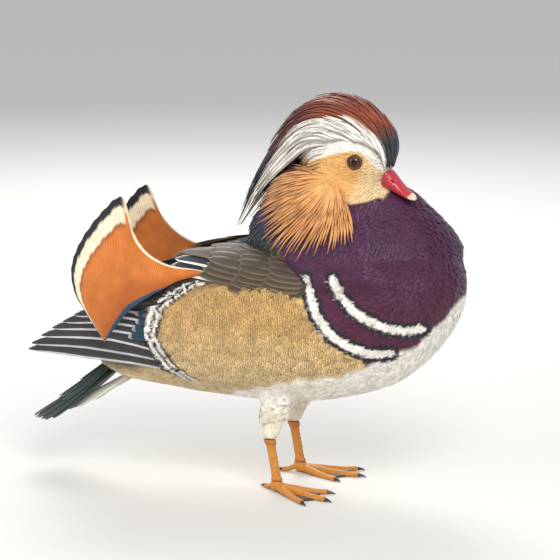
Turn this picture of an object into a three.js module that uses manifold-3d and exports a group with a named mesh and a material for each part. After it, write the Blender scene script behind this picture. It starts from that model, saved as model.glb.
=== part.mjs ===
// A mandarin drake standing on the floor, life size: neck drawn in, head turned a little to its
// right, both sail feathers raised. Millimetres. +X is the way the body faces, +Y its left side
// and +Z up. The floor is z = 0.

import * as THREE from 'three';
import { LoftGeometry } from 'three/addons/geometries/LoftGeometry.js';
import { mergeVertices } from 'three/addons/utils/BufferGeometryUtils.js';
import Module from 'manifold-3d';

const wasm = await Module();
wasm.setup();

// Driving sizes

const gap = 0.35; // clearance between pieces that touch
const right = -1;
const left = 1;
const sides = { right, left };

// The trunk without its rounded ends: back line, belly line and half width along the body.
const trunk = {
  tailEnd: -165,
  breastEnd: 146,
  tailRound: 45,
  breastRound: 66,
  power: 2.25,
  back: [[-165, 116], [-120, 162], [-80, 187], [-40, 199], [0, 205], [40, 212], [80, 219], [146, 224]],
  belly: [[-165, 76], [-120, 77], [-60, 71], [0, 69], [40, 73], [80, 84], [115, 98], [146, 114]],
  halfWidth: [[-165, 28], [-120, 39], [-80, 49], [-40, 56], [0, 60], [40, 61.5], [80, 60], [146, 55]],
};

// The flank feathers swell over the folded wing and end in a rounded edge behind. The rear edge is
// given as pairs of share up the side and x. The lifts are heights over the wing's own surface.
const flankSize = {
  front: 92,
  rear: [[0, -60], [0.25, -94], [0.5, -110], [0.75, -104], [1, -72]],
  low: 80,
  high: 171,
  swell: 8.4,
  overWing: 5.8,
  edge: 0.9,
  buried: -4,
  rows: [0, 0.22, 0.4, 0.56, 0.74, 0.9, 1],
};

// The neck stands in the trunk; its long axis is local x, the throat side is local z.
const neckSize = {
  foot: [60, 0, 150],
  lean: 4,
  length: 112,
  power: 2.1,
  throat: [[0, 80], [41, 83], [65, 72], [87, 51], [100, 37], [112, 27]],
  nape: [[0, -68], [45, -84], [66, -88], [90, -74], [112, -56]],
  halfWidth: [[0, 60], [30, 59], [42, 56], [65, 46], [87, 34], [100, 27], [112, 23]],
  blend: 30,
  headBlend: 12,
};

// The head in its own frame: local x runs from the nape to the bill.
const headSize = {
  centre: [54, -5, 266],
  turn: -13,
  nod: 16,
  napeEnd: -42,
  faceEnd: 33,
  napeRound: 24,
  faceRound: 11,
  power: 2.1,
  crown: [[-42, 11], [-28, 28], [-10, 36], [3, 35], [14, 30], [24, 21], [33, 12]],
  chin: [[-42, -15], [-28, -23], [-10, -26], [3, -25], [14, -22], [24, -18], [33, -13.5]],
  halfWidth: [[-42, 15], [-28, 21], [-10, 24], [3, 23.5], [14, 19.5], [24, 14], [33, 9.8]],
};

const eyeSize = { radius: 6.2, x: 11.5, z: 7.5, showing: 1.5, lidRadius: 5.7, lidTube: 1.15 };

// The bill in its own frame: local x along the mouth line from inside the face to the nail.
const billSize = {
  root: [23, 0, -1],
  nod: 13,
  length: 38,
  culmen: [[0, 10.2], [9, 9.4], [17, 6.6], [26, 3.9], [38, 2.6]],
  halfWidth: [[0, 8.6], [9, 8.4], [18, 7.4], [27, 7.3], [38, 6.6]],
  keel: [[0, -6.4], [12, -4.8], [24, -3], [36, -1.8]],
  tipRound: 7,
  lowerShort: 1.6,
  nostril: { x: 15.5, z: 4.6, length: 2.5, height: 0.9, depth: 1.6 },
  nail: { length: 5.2, width: 3.1, rise: 0.7 },
};

// The crest's outer surface follows this line back over the crown and down the nape.
const crestSize = {
  line: [[34, 8], [31, 26], [17, 42], [-8, 51], [-36, 46], [-61, 24], [-76, -12], [-85, -49], [-90, -86]],
  halfWidth: [[0, 8], [0.14, 16], [0.28, 22], [0.45, 26.5], [0.65, 24], [0.85, 15], [1, 4]],
  depth: [[0, 4], [0.14, 13], [0.28, 27], [0.45, 38], [0.65, 36], [0.85, 22], [1, 8]],
  coreFrom: 0.08,
  coreTo: 0.9,
  coreThickness: 14,
};

// The cheek hackles fan out from the cheek, from straight back round to below the bill. Their
// reach changes with their angle.
const ruffSize = {
  cheek: [-3, -10],
  band: { inner: 7, outer: 19, thickness: 2.2 },
  apart: { root: 8, tip: 14 },
  stagger: 1.3,
  reach: [[180, 0.82], [215, 1.08], [255, 1.14], [290, 0.92], [322, 0.74]],
  tiers: [
    { count: 13, from: 190, to: 316, root: 11, reach: 54, width: 8, lift: [1.2, 3] },
    { count: 9, from: 196, to: 310, root: 9, reach: 33, width: 8, lift: [2, 5.6] },
  ],
};

// The surface that the folded wing lies on: the trunk's side, carried on straight past the rump.
const wingLie = {
  power: 2.25,
  back: [[-225, 123], [-170, 149], [-110, 174], [-60, 194.5], [0, 206], [40, 213], [80, 220]],
  belly: [[-225, 70], [-170, 66], [-110, 72], [-60, 71], [0, 69], [40, 73], [80, 84]],
  halfWidth: [[-225, 17], [-170, 30], [-110, 43], [-60, 53.5], [0, 60.7], [40, 62.2], [80, 60.8]],
};

const wingSize = {
  pad: { front: 22, rear: -104, middle: 158, height: 56, thickness: 3.4, edge: 0.9 },
  primaries: {
    count: 6,
    tips: [[-219, 101], [-215, 109], [-202, 118], [-188, 127], [-174, 135], [-160, 142]],
    rootX: -74, rootLow: 98, rootHigh: 142, width: 11.5, lift: [2.1, 1.6], bow: 3,
  },
  secondaries: {
    count: 3, tipX: -122, tipLow: 128, tipHigh: 150, rootX: -52, rootLow: 128, rootHigh: 160,
    width: 12, lift: [2.6, 4.6], bow: 1,
  },
  tertials: {
    count: 2, tipX: -148, tipLow: 140, tipHigh: 152, rootX: -44, rootLow: 164, rootHigh: 176,
    width: 16, lift: [3, 6.4], bow: 4,
  },
  greaterCoverts: {
    count: 3, tipX: -86, tipLow: 148, tipHigh: 172, rootX: -34, rootLow: 154, rootHigh: 176,
    width: 13, lift: [2.8, 6.2], bow: 0,
  },
  scapulars: {
    count: 4, tipX: -92, tipLow: 173, tipHigh: 189, rootX: -14, rootLow: 174, rootHigh: 192,
    width: 15, lift: [2, 7], bow: -2,
  },
  upperScapulars: {
    count: 3, tipX: -44, tipLow: 178, tipHigh: 193, rootX: 16, rootLow: 179, rootHigh: 194,
    width: 18, lift: [2, 6.6], bow: -2,
  },
};

// The sail: the inner vane of the longest tertial, raised on edge. Places are side-view x, z.
const sailSize = {
  shaft: [
    [-52, 176], [-64, 175.5], [-80, 171], [-94, 163], [-107, 155], [-118, 147],
    [-123, 142], [-127, 137], [-131, 132], [-134, 128], [-138, 123], [-141, 118],
  ],
  margin: [
    [-52, 179], [-66, 181], [-88, 183], [-108, 192], [-122, 208], [-133, 234],
    [-150, 221], [-165, 199], [-171, 178], [-167, 158], [-157, 141], [-141, 118],
  ],
  top: { z: 236, y: 31 },
  foot: { z: 152, y: 52 },
  thickness: 0.9,
};

const tailSize = {
  root: [-128, 0, 103],
  slope: -33,
  count: 10,
  spread: 14,
  length: 112,
  edgeShorter: 0.8,
  width: 17,
  droop: 0.012,
  core: { along: 22, lift: -3, length: 50, width: 19, thickness: 10 },
  coverts: { count: 3, length: 84, width: 19, spread: 9, lift: [6, 2] },
  underCoverts: { count: 3, length: 86, width: 19, spread: 9, lift: [-13, -9] },
};

// The legs stand a little apart; each foot points its own way.
const legSize = {
  x: -2,
  y: 33,
  floorToHeel: 43,
  heelBack: 6,
  ankle: 9,
  radius: 3.3,
  scutes: 8,
  thighTop: 96,
  thighRadius: 17,
  thighFoot: 5.2,
};

const footSize = {
  turn: { right: -24, left: -4 },
  toes: [
    { name: 'inner', angle: 27, length: 42, thick: 3.5 },
    { name: 'middle', angle: 0, length: 51, thick: 3.8 },
    { name: 'outer', angle: -24, length: 47, thick: 3.5 },
    { name: 'hind', angle: 168, length: 15, thick: 2.6 },
  ],
  tipThick: 2.2,
  web: { from: 0.6, thickness: 1.4, scallop: 0.66, reach: 0.93 },
  claw: { length: 6.5, radius: 1.7, drop: 1.3 },
};

// Small helpers

const vector = (x, y, z) => new THREE.Vector3(x, y, z);
const { lerp, clamp, smoothstep, degToRad } = THREE.MathUtils;

// A smooth curve through a few [place, value] pairs, flat beyond its ends.
function profile(pairs) {
  const slope = (i) => {
    const a = pairs[Math.max(0, i - 1)];
    const b = pairs[Math.min(pairs.length - 1, i + 1)];
    return (b[1] - a[1]) / (b[0] - a[0]);
  };
  return (place) => {
    const t = clamp(place, pairs[0][0], pairs[pairs.length - 1][0]);
    let i = 0;
    while (i < pairs.length - 2 && t > pairs[i + 1][0]) i++;
    const [x0, y0] = pairs[i];
    const [x1, y1] = pairs[i + 1];
    const width = x1 - x0;
    const u = (t - x0) / width;
    const hermite = (y1 - y0) * (3 * u * u - 2 * u * u * u)
      + slope(i) * width * (u * u * u - 2 * u * u + u)
      + slope(i + 1) * width * (u * u * u - u * u);
    return y0 + hermite;
  };
}

// One vertex for each corner, with nothing but its place.
function welded(geometry) {
  const bare = new THREE.BufferGeometry().copy(geometry);
  bare.deleteAttribute('normal');
  bare.deleteAttribute('uv');
  return mergeVertices(bare, 1e-3);
}

// A manifold solid from a closed geometry, turned the right way out.
function solidOf(geometry) {
  const merged = welded(geometry);
  const build = (triVerts) => new wasm.Manifold(new wasm.Mesh({
    numProp: 3,
    vertProperties: new Float32Array(merged.attributes.position.array),
    triVerts,
  }));
  const triangles = new Uint32Array(merged.index.array);
  const solid = build(triangles);
  return solid.volume() < 0 ? build(triangles.slice().reverse()) : solid;
}

function geometryOf(solid) {
  const mesh = solid.getMesh();
  const geometry = new THREE.BufferGeometry();
  geometry.setAttribute('position', new THREE.BufferAttribute(new Float32Array(mesh.vertProperties), 3));
  geometry.setIndex(new THREE.BufferAttribute(new Uint32Array(mesh.triVerts), 1));
  geometry.computeVertexNormals();
  return geometry;
}

const joined = (solids) => solids.reduce((whole, solid) => whole.add(solid));
const without = (solid, cutters) => cutters.reduce((rest, cutter) => rest.subtract(cutter), solid);
const largest = (solid) => solid.decompose().reduce((a, b) => (a.volume() > b.volume() ? a : b));

// The same closed surface moved outwards along its normals.
function grown(geometry, by) {
  const merged = welded(geometry);
  merged.computeVertexNormals();
  const outward = solidVolume(merged) < 0 ? -by : by;
  const { position, normal } = merged.attributes;
  for (let i = 0; i < position.count; i++) {
    position.setXYZ(
      i,
      position.getX(i) + normal.getX(i) * outward,
      position.getY(i) + normal.getY(i) * outward,
      position.getZ(i) + normal.getZ(i) * outward,
    );
  }
  return merged;
}

function solidVolume(geometry) {
  const { position } = geometry.attributes;
  const corner = (i) => new THREE.Vector3().fromBufferAttribute(position, geometry.index.getX(i));
  let six = 0;
  for (let i = 0; i < geometry.index.count; i += 3) {
    six += corner(i).dot(corner(i + 1).cross(corner(i + 2)));
  }
  return six / 6;
}

const placed = (geometry, matrix) => new THREE.BufferGeometry().copy(geometry).applyMatrix4(matrix);

function frameAt(place, turn, nod) {
  const rotation = new THREE.Euler(0, degToRad(nod), degToRad(turn), 'ZYX');
  return new THREE.Matrix4().makeRotationFromEuler(rotation).setPosition(...place);
}

function boxBetween(low, high) {
  const size = [0, 1, 2].map((i) => high[i] - low[i]);
  const middle = [0, 1, 2].map((i) => (high[i] + low[i]) / 2);
  return new THREE.BoxGeometry(...size).translate(...middle);
}

// A rounded body along its own x axis, with a top line, a bottom line and a half width. It can be
// meshed, and it can say how far a point is from its surface.
class Form {
  constructor({ matrix, from, to, startRound, endRound, power, top, bottom, halfWidth }) {
    Object.assign(this, { matrix, from, to, startRound, endRound, power });
    this.inverse = matrix.clone().invert();
    this.top = profile(top);
    this.bottom = profile(bottom);
    this.halfWidth = profile(halfWidth);
  }

  // How much of the full section is left at x, where the ends are rounded off.
  fullness(x) {
    const intoStart = this.startRound ? clamp(1 - (x - this.from) / this.startRound, 0, 1) : 0;
    const intoEnd = this.endRound ? clamp(1 - (this.to - x) / this.endRound, 0, 1) : 0;
    return Math.sqrt((1 - intoStart ** 2) * (1 - intoEnd ** 2));
  }

  section(x) {
    const full = Math.max(this.fullness(x), 1e-3);
    const middle = (this.top(x) + this.bottom(x)) / 2;
    const high = (this.top(x) - this.bottom(x)) / 2;
    return { middle, high: high * full, wide: this.halfWidth(x) * full };
  }

  geometry(stations, around) {
    const sections = [];
    for (let i = 0; i <= stations; i++) {
      const along = (1 - Math.cos((Math.PI * i) / stations)) / 2;
      const x = lerp(this.from, this.to, lerp(i / stations, along, 0.8));
      const { middle, high, wide } = this.section(x);
      const ring = [];
      for (let j = 0; j < around; j++) {
        const angle = (2 * Math.PI * j) / around;
        const [c, s] = [Math.cos(angle), Math.sin(angle)];
        const bulge = (value) => Math.sign(value) * Math.abs(value) ** (2 / this.power);
        ring.push(vector(x, wide * bulge(c), middle + high * bulge(s)));
      }
      sections.push(ring);
    }
    return new LoftGeometry(sections, { capStart: true, capEnd: true }).applyMatrix4(this.matrix);
  }

  level(point) {
    const local = point.clone().applyMatrix4(this.inverse);
    const x = clamp(local.x, this.from + 0.5, this.to - 0.5);
    const past = Math.abs(local.x - x);
    const { middle, high, wide } = this.section(x);
    const reach = Math.hypot(local.y, local.z - middle);
    const ratio = (Math.abs(local.y / wide) ** this.power
      + Math.abs((local.z - middle) / high) ** this.power) ** (1 / this.power);
    const across = ratio > 1e-6 ? reach * (1 - 1 / ratio) : -Math.min(wide, high);
    return past > 0 ? Math.hypot(past, Math.max(across, 0)) : across;
  }
}

// Where the solids' own pieces of flesh are

const trunkForm = new Form({
  matrix: new THREE.Matrix4(),
  from: trunk.tailEnd,
  to: trunk.breastEnd,
  startRound: trunk.tailRound,
  endRound: trunk.breastRound,
  power: trunk.power,
  top: trunk.back,
  bottom: trunk.belly,
  halfWidth: trunk.halfWidth,
});

const neckForm = new Form({
  matrix: frameAt(neckSize.foot, 0, -90 - neckSize.lean),
  from: 0,
  to: neckSize.length,
  power: neckSize.power,
  top: neckSize.nape.map(([x, z]) => [x, -z]),
  bottom: neckSize.throat.map(([x, z]) => [x, -z]),
  halfWidth: neckSize.halfWidth,
});

const headMatrix = frameAt(headSize.centre, headSize.turn, headSize.nod);
const headForm = new Form({
  matrix: headMatrix,
  from: headSize.napeEnd,
  to: headSize.faceEnd,
  startRound: headSize.napeRound,
  endRound: headSize.faceRound,
  power: headSize.power,
  top: headSize.crown,
  bottom: headSize.chin,
  halfWidth: headSize.halfWidth,
});

// The flesh as one smooth shape, for feathers to lie on.
function fleshLevel(point) {
  const soft = (a, b, blend) => {
    const h = clamp(0.5 + (0.5 * (b - a)) / blend, 0, 1);
    return lerp(b, a, h) - blend * h * (1 - h);
  };
  const bodyLevel = soft(trunkForm.level(point), neckForm.level(point), neckSize.blend);
  return soft(bodyLevel, headForm.level(point), neckSize.headBlend);
}

function slopeOf(level, point) {
  const step = 0.4;
  const along = (axis) => {
    const ahead = point.clone().addScaledVector(axis, step);
    const behind = point.clone().addScaledVector(axis, -step);
    return (level(ahead) - level(behind)) / (2 * step);
  };
  return vector(along(vector(1, 0, 0)), along(vector(0, 1, 0)), along(vector(0, 0, 1)));
}

// Moves a point to a given height over a surface.
function settled(level, point, lift) {
  const at = point.clone();
  for (let i = 0; i < 6; i++) {
    const slope = slopeOf(level, at);
    const steepness = Math.max(slope.length(), 0.2);
    const off = lift - level(at) / steepness;
    at.addScaledVector(slope.normalize(), clamp(off, -8, 8));
  }
  return at;
}

// A form's mesh, flared where it grows out of a larger neighbour.
function flared(geometry, neighbour, blend) {
  const merged = welded(geometry);
  const { position } = merged.attributes;
  for (let i = 0; i < position.count; i++) {
    const point = vector().fromBufferAttribute(position, i);
    const clear = neighbour.level(point);
    if (clear > 1.5 && clear < blend && fleshLevel(point) < -0.02) {
      const out = settled(fleshLevel, point, 0);
      if (out.distanceTo(point) < blend / 2) position.setXYZ(i, ...out);
    }
  }
  return merged;
}

// Thin plates: feathers, locks and pads

// A closed plate over a grid of { at, up } places, with alike triangles on both faces.
function plate(grid, thickness) {
  const rows = grid.length;
  const columns = grid[0].length;
  const positions = [];
  for (const face of [0.5, -0.5]) {
    grid.forEach((row, r) => row.forEach(({ at, up }, c) => {
      positions.push(...at.clone().addScaledVector(up, face * thickness(r / (rows - 1), c / (columns - 1))));
    }));
  }
  const index = [];
  const id = (face, r, c) => face * rows * columns + r * columns + c;
  const quad = (a, b, c, d) => index.push(a, b, c, a, c, d);
  for (let r = 0; r < rows - 1; r++) {
    for (let c = 0; c < columns - 1; c++) {
      quad(id(0, r, c), id(0, r + 1, c), id(0, r + 1, c + 1), id(0, r, c + 1));
      const under = [id(1, r, c), id(1, r + 1, c), id(1, r + 1, c + 1), id(1, r, c + 1)];
      index.push(under[0], under[2], under[1], under[0], under[3], under[2]);
    }
    quad(id(0, r + 1, 0), id(0, r, 0), id(1, r, 0), id(1, r + 1, 0));
    quad(id(0, r, columns - 1), id(0, r + 1, columns - 1), id(1, r + 1, columns - 1), id(1, r, columns - 1));
  }
  for (let c = 0; c < columns - 1; c++) {
    quad(id(0, 0, c), id(0, 0, c + 1), id(1, 0, c + 1), id(1, 0, c));
    quad(id(0, rows - 1, c + 1), id(0, rows - 1, c), id(1, rows - 1, c), id(1, rows - 1, c + 1));
  }
  const geometry = new THREE.BufferGeometry();
  geometry.setAttribute('position', new THREE.Float32BufferAttribute(positions, 3));
  geometry.setIndex(index);
  return geometry;
}

const roundTip = (t) => Math.max(0.16, Math.sqrt(1 - t ** 5)) * lerp(0.72, 1, smoothstep(t, 0, 0.3));
const pointedTip = (t) => Math.max(0.1, Math.sin(Math.PI * Math.min(1, 0.16 + 0.86 * t) ** 1.25));
const vaneRows = [0, 0.42, 0.78, 1];

// A vane along a path of { at, up } places: flat across, thinner at its tip.
function vane(path, width, outline, thickness) {
  const grid = path.map(({ at, up }, i) => {
    const before = path[Math.max(0, i - 1)].at;
    const after = path[Math.min(path.length - 1, i + 1)].at;
    const side = after.clone().sub(before).cross(up).normalize();
    const half = (width / 2) * outline(i / (path.length - 1));
    return [-1, 1].map((s) => ({ at: at.clone().addScaledVector(side, s * half), up }));
  });
  return plate(grid, (t) => lerp(thickness, 0.5, t));
}

// Wing

const lieBack = profile(wingLie.back);
const lieBelly = profile(wingLie.belly);
const lieWidth = profile(wingLie.halfWidth);

// A place on the folded wing's surface: x along the body, turn the angle up round its side.
function wingPlace(side, x, turn, lift) {
  const middle = (lieBack(x) + lieBelly(x)) / 2;
  const high = (lieBack(x) - lieBelly(x)) / 2;
  const wide = lieWidth(x);
  const bulge = (value) => Math.sign(value) * Math.abs(value) ** (2 / wingLie.power);
  const spot = (px, angle) => {
    const m = (lieBack(px) + lieBelly(px)) / 2;
    const h = (lieBack(px) - lieBelly(px)) / 2;
    return vector(px, side * lieWidth(px) * bulge(Math.cos(angle)), m + h * bulge(Math.sin(angle)));
  };
  const at = vector(x, side * wide * bulge(Math.cos(turn)), middle + high * bulge(Math.sin(turn)));
  const alongX = spot(x + 1, turn).sub(spot(x - 1, turn));
  const alongTurn = spot(x, turn + 0.01).sub(spot(x, turn - 0.01));
  const up = alongX.cross(alongTurn).normalize().multiplyScalar(-side);
  if (up.y * side < 0) up.negate();
  return { at: at.addScaledVector(up, lift), up };
}

function turnAt(x, z) {
  const middle = (lieBack(x) + lieBelly(x)) / 2;
  const high = (lieBack(x) - lieBelly(x)) / 2;
  const share = clamp((z - middle) / high, -0.97, 0.97);
  return Math.asin(Math.sign(share) * Math.abs(share) ** (wingLie.power / 2));
}

const lieRadius = (x) => (lieWidth(x) + (lieBack(x) - lieBelly(x)) / 2) / 2;

// One vane lying on the wing's surface, from a side-view root to a side-view tip. Its low edge lies
// over the vane below, so it stands a little higher.
function wingVane(side, { root, tip, bow, width, lift, outline, thickness = 0.8, shingle = 0.85 }) {
  const [rootTurn, tipTurn] = [turnAt(...root), turnAt(...tip)];
  const grid = vaneRows.map((t) => {
    const x = lerp(root[0], tip[0], t);
    const radius = lieRadius(x);
    const turn = lerp(rootTurn, tipTurn, t) + (bow / radius) * 4 * t * (1 - t);
    const ahead = vector(tip[0] - root[0], 0, (tipTurn - rootTurn) * radius + bow * 4 * (1 - 2 * t)).normalize();
    const half = (width / 2) * outline(t);
    return [-1, 1].map((s) => {
      const height = lerp(lift[0], lift[1], t) - s * shingle * smoothstep(t, 0, 0.4);
      return wingPlace(side, x + ahead.z * s * half, turn - (ahead.x * s * half) / radius, height);
    });
  });
  return plate(grid, (t) => lerp(thickness, 0.5, t));
}

// A tier of vanes side by side, from the lowest to the highest.
function wingTier(side, tier, outline) {
  return Array.from({ length: tier.count }, (_, i) => {
    const share = tier.count > 1 ? i / (tier.count - 1) : 0.5;
    const tip = tier.tips ? tier.tips[i] : [
      tier.tipX + 6 * Math.sin(Math.PI * share),
      lerp(tier.tipLow, tier.tipHigh, share),
    ];
    const root = [tier.rootX, lerp(tier.rootLow, tier.rootHigh, share)];
    const { width, lift, bow } = tier;
    return wingVane(side, { root, tip, bow, width, lift, outline });
  });
}

// The arm and hand under the coverts: a leaf-shaped pad that lies on the trunk.
function wingPad(side) {
  const { front, rear, middle, height, thickness, edge } = wingSize.pad;
  const [rows, columns] = [8, 4];
  const grid = [];
  for (let i = 0; i <= rows; i++) {
    const t = i / rows;
    const x = lerp(front, rear, t);
    const round = Math.max(0.25, Math.sqrt(1 - (2 * t - 1) ** 4));
    const row = [];
    for (let j = 0; j <= columns; j++) {
      const s = (2 * j) / columns - 1;
      const turn = turnAt(x, middle) + (s * (height / 2) * round) / lieRadius(x);
      row.push(wingPlace(side, x, turn, gap + thickness / 2 + 0.3));
    }
    grid.push(row);
  }
  return plate(grid, (t, s) => {
    const inward = Math.min(1, 5 * t, 5 * (1 - t), 4 * s, 4 * (1 - s));
    return lerp(edge, thickness, Math.sqrt(Math.max(inward, 0)));
  });
}

// The swelling of the flank: solid with the trunk in front and below, a shell over the wing behind.
function flank(side) {
  const { front, low, high, swell, overWing, edge, buried, rows } = flankSize;
  const rearAt = profile(flankSize.rear);
  const columns = 7;
  const inner = (t, s) => lerp(buried - 2, overWing, smoothstep(t, 0.3, 0.56) * smoothstep(s, 0.04, 0.25));
  const outer = (t, s) => {
    const across = Math.sin(Math.PI * s) ** 0.75;
    const along = smoothstep(t, 0, 0.4) * (t === 1 ? 0.75 : 1);
    return Math.max(inner(t, s) + edge, lerp(buried, swell, across * along));
  };
  const rowAt = (share) => rows[Math.round(share * (rows.length - 1))];
  const grid = rows.map((t) => Array.from({ length: columns + 1 }, (_, j) => {
    const s = j / columns;
    const x = lerp(front, rearAt(s), t);
    const turn = lerp(turnAt(x, low), turnAt(x, high), s);
    return wingPlace(side, x, turn, (outer(t, s) + inner(t, s)) / 2);
  }));
  return plate(grid, (share, s) => outer(rowAt(share), s) - inner(rowAt(share), s));
}

function wing(side) {
  const { primaries, secondaries, tertials, greaterCoverts, scapulars, upperScapulars } = wingSize;
  const tiers = [primaries, secondaries, tertials, greaterCoverts, scapulars, upperScapulars];
  const vanes = tiers.flatMap((tier) => wingTier(side, tier, roundTip));
  return joined([wingPad(side), ...vanes].map(solidOf));
}

// The sail

const sailY = (z) => lerp(sailSize.foot.y, sailSize.top.y, smoothstep(z, sailSize.foot.z, sailSize.top.z));

function sailPlate(side, thickness) {
  const toCurve = (points) => new THREE.SplineCurve(points.map(([x, z]) => new THREE.Vector2(x, z)));
  const shaft = toCurve(sailSize.shaft);
  const margin = toCurve(sailSize.margin);
  const [rows, columns] = [16, 4];
  const grid = [];
  for (let i = 0; i <= rows; i++) {
    const t = i / rows;
    const [inner, outer] = [shaft.getPoint(t), margin.getPoint(t)];
    const row = [];
    for (let j = 0; j <= columns; j++) {
      const at = inner.clone().lerp(outer, j / columns);
      const steep = (sailY(at.y + 1) - sailY(at.y - 1)) / 2;
      const up = vector(0, side, -steep * side * side).normalize();
      const cup = 3 * Math.sin(Math.PI * t) * Math.sin((Math.PI * j) / columns);
      row.push({ at: vector(at.x, side * (sailY(at.y) + cup), at.y), up });
    }
    grid.push(row);
  }
  // The two margins meet at the ends, so the end rows are opened by a little.
  const open = 0.5;
  for (const row of [grid[0], grid[rows]]) {
    row.forEach((place, j) => { place.at.z += open * ((2 * j) / columns - 1); });
  }
  return plate(grid, () => thickness);
}

// Tail

function tailPlace(along, across, lift) {
  const { root, slope } = tailSize;
  const way = vector(-Math.cos(degToRad(slope)), 0, Math.sin(degToRad(slope)));
  const up = vector(Math.sin(degToRad(slope)) * -1, 0, Math.cos(degToRad(slope)));
  if (up.dot(way) > 1e-6) up.x *= -1;
  const droop = -tailSize.droop * across * across;
  const at = vector(...root).addScaledVector(way, along).add(vector(0, across, 0));
  return { at: at.addScaledVector(up, lift + droop), up };
}

function tailVane(angle, length, width, [rootLift, tipLift], from) {
  const grid = vaneRows.map((t) => {
    const along = lerp(from, length, t);
    const half = (width / 2) * roundTip(t);
    const heading = degToRad(angle);
    return [-1, 1].map((s) => {
      const across = along * Math.sin(heading) + s * half * Math.cos(heading);
      const onward = along * Math.cos(heading) - s * half * Math.sin(heading);
      return tailPlace(onward, across, lerp(rootLift, tipLift, t));
    });
  });
  return plate(grid, (t) => lerp(0.9, 0.6, t));
}

// The fleshy root of the tail, wedge-shaped from the side.
function tailCore() {
  const { core, slope } = tailSize;
  const wedge = new THREE.SphereGeometry(1, 14, 10).scale(core.length, core.width, core.thickness);
  return wedge.rotateY(degToRad(slope)).translate(...tailPlace(core.along, 0, core.lift).at);
}

function tail() {
  const { count, spread, length, edgeShorter, width, coverts, underCoverts } = tailSize;
  const vanes = [];
  for (let i = 0; i < count; i++) {
    const share = (2 * i) / (count - 1) - 1;
    const fromMiddle = Math.abs(share);
    const lift = -1.35 * Math.round(fromMiddle * (count - 1) / 2 + 0.5) + (share < 0 ? 0.65 : 0);
    vanes.push(tailVane(share * spread, length * lerp(1, edgeShorter, fromMiddle ** 2), width, [lift, lift], 6));
  }
  for (const tier of [coverts, underCoverts]) {
    for (let i = 0; i < tier.count; i++) {
      const share = (2 * i) / (tier.count - 1) - 1;
      const reach = tier.length * (1 - 0.16 * Math.abs(share));
      const lifts = tier.lift.map((lift) => lift - 2.6 * Math.abs(share));
      vanes.push(tailVane(share * tier.spread, reach, tier.width, lifts, -4));
    }
  }
  return joined([tailCore(), ...vanes].map(solidOf));
}

// Crest

const crestLine = new THREE.SplineCurve(crestSize.line.map(([x, z]) => new THREE.Vector2(x, z)));
const crestWidth = profile(crestSize.halfWidth);
const crestDepth = profile(crestSize.depth);

// A place on the crest's surface: along from the forehead to the tip, across from -1 to 1.
function crestPlace(along, across, lift) {
  const onLine = crestLine.getPoint(clamp(along, 0, 1));
  const way = crestLine.getTangent(clamp(along, 0, 1));
  const out = vector(way.y, 0, -way.x);
  if (out.x * -way.y > 0) out.negate();
  const bend = (across * Math.PI) / 2;
  const up = out.clone().multiplyScalar(Math.cos(bend) + 0.15).add(vector(0, Math.sin(bend), 0)).normalize();
  const at = vector(onLine.x, crestWidth(along) * Math.sin(bend), onLine.y)
    .addScaledVector(out, -crestDepth(along) * (1 - Math.cos(bend)))
    .addScaledVector(up, lift);
  return { at, up };
}

function crestLock(from, to, across, width, lift) {
  const path = vaneRows.map((t) => crestPlace(
    lerp(from, to, t),
    across * lerp(1, 0.82, t),
    lerp(lift[0], lift[1], t),
  ));
  return vane(path, width, pointedTip, 1.1);
}

function crestCore() {
  const { coreFrom, coreTo, coreThickness } = crestSize;
  const [rows, columns] = [9, 6];
  const grid = [];
  for (let i = 0; i <= rows; i++) {
    const row = [];
    for (let j = 0; j <= columns; j++) {
      row.push(crestPlace(lerp(coreFrom, coreTo, i / rows), 0.96 * ((2 * j) / columns - 1), -coreThickness / 2 - 0.4));
    }
    grid.push(row);
  }
  return plate(grid, (t, s) => {
    const inward = Math.min(1, 4 * t + 0.15, 3 * (1 - t) + 0.2, 4 * s + 0.2, 4 * (1 - s) + 0.2);
    return coreThickness * inward;
  });
}

function crest() {
  const locks = [];
  const rows = [
    { from: 0.1, to: 0.42, count: 5, spread: 0.74, width: 9.5, lift: [-2, 1.6] },
    { from: 0.24, to: 0.64, count: 6, spread: 0.82, width: 9.5, lift: [-2.4, 0.2] },
    { from: 0.36, to: 0.84, count: 6, spread: 0.88, width: 10, lift: [-3, -1.2] },
    { from: 0.46, to: 1, count: 5, spread: 0.9, width: 9.5, lift: [-3.6, -2.6] },
  ];
  rows.forEach(({ from, to, count, spread, width, lift }, r) => {
    for (let i = 0; i < count; i++) {
      const across = spread * ((2 * i) / (count - 1) - 1);
      const shorter = 0.05 * Math.abs(across);
      const uneven = 0.015 * Math.sin(7 * i + 3 * r);
      const staggered = lift.map((height, k) => height + (i % 2) * k * 0.9);
      locks.push(crestLock(from, to - shorter + uneven, across, width, staggered));
    }
  });
  return joined([crestCore(), ...locks].map(solidOf));
}

// Cheek hackles

const ruffReach = profile(ruffSize.reach);
const inHead = (x, y, z) => vector(x, y, z).applyMatrix4(headMatrix);

// Holds a hackle off the bird's middle plane, so that the two sides stay apart.
function keptAside(point, side, least) {
  const local = point.clone().applyMatrix4(headForm.inverse);
  local.y = side * Math.max(least, side * local.y);
  return local.applyMatrix4(headMatrix);
}

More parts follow.
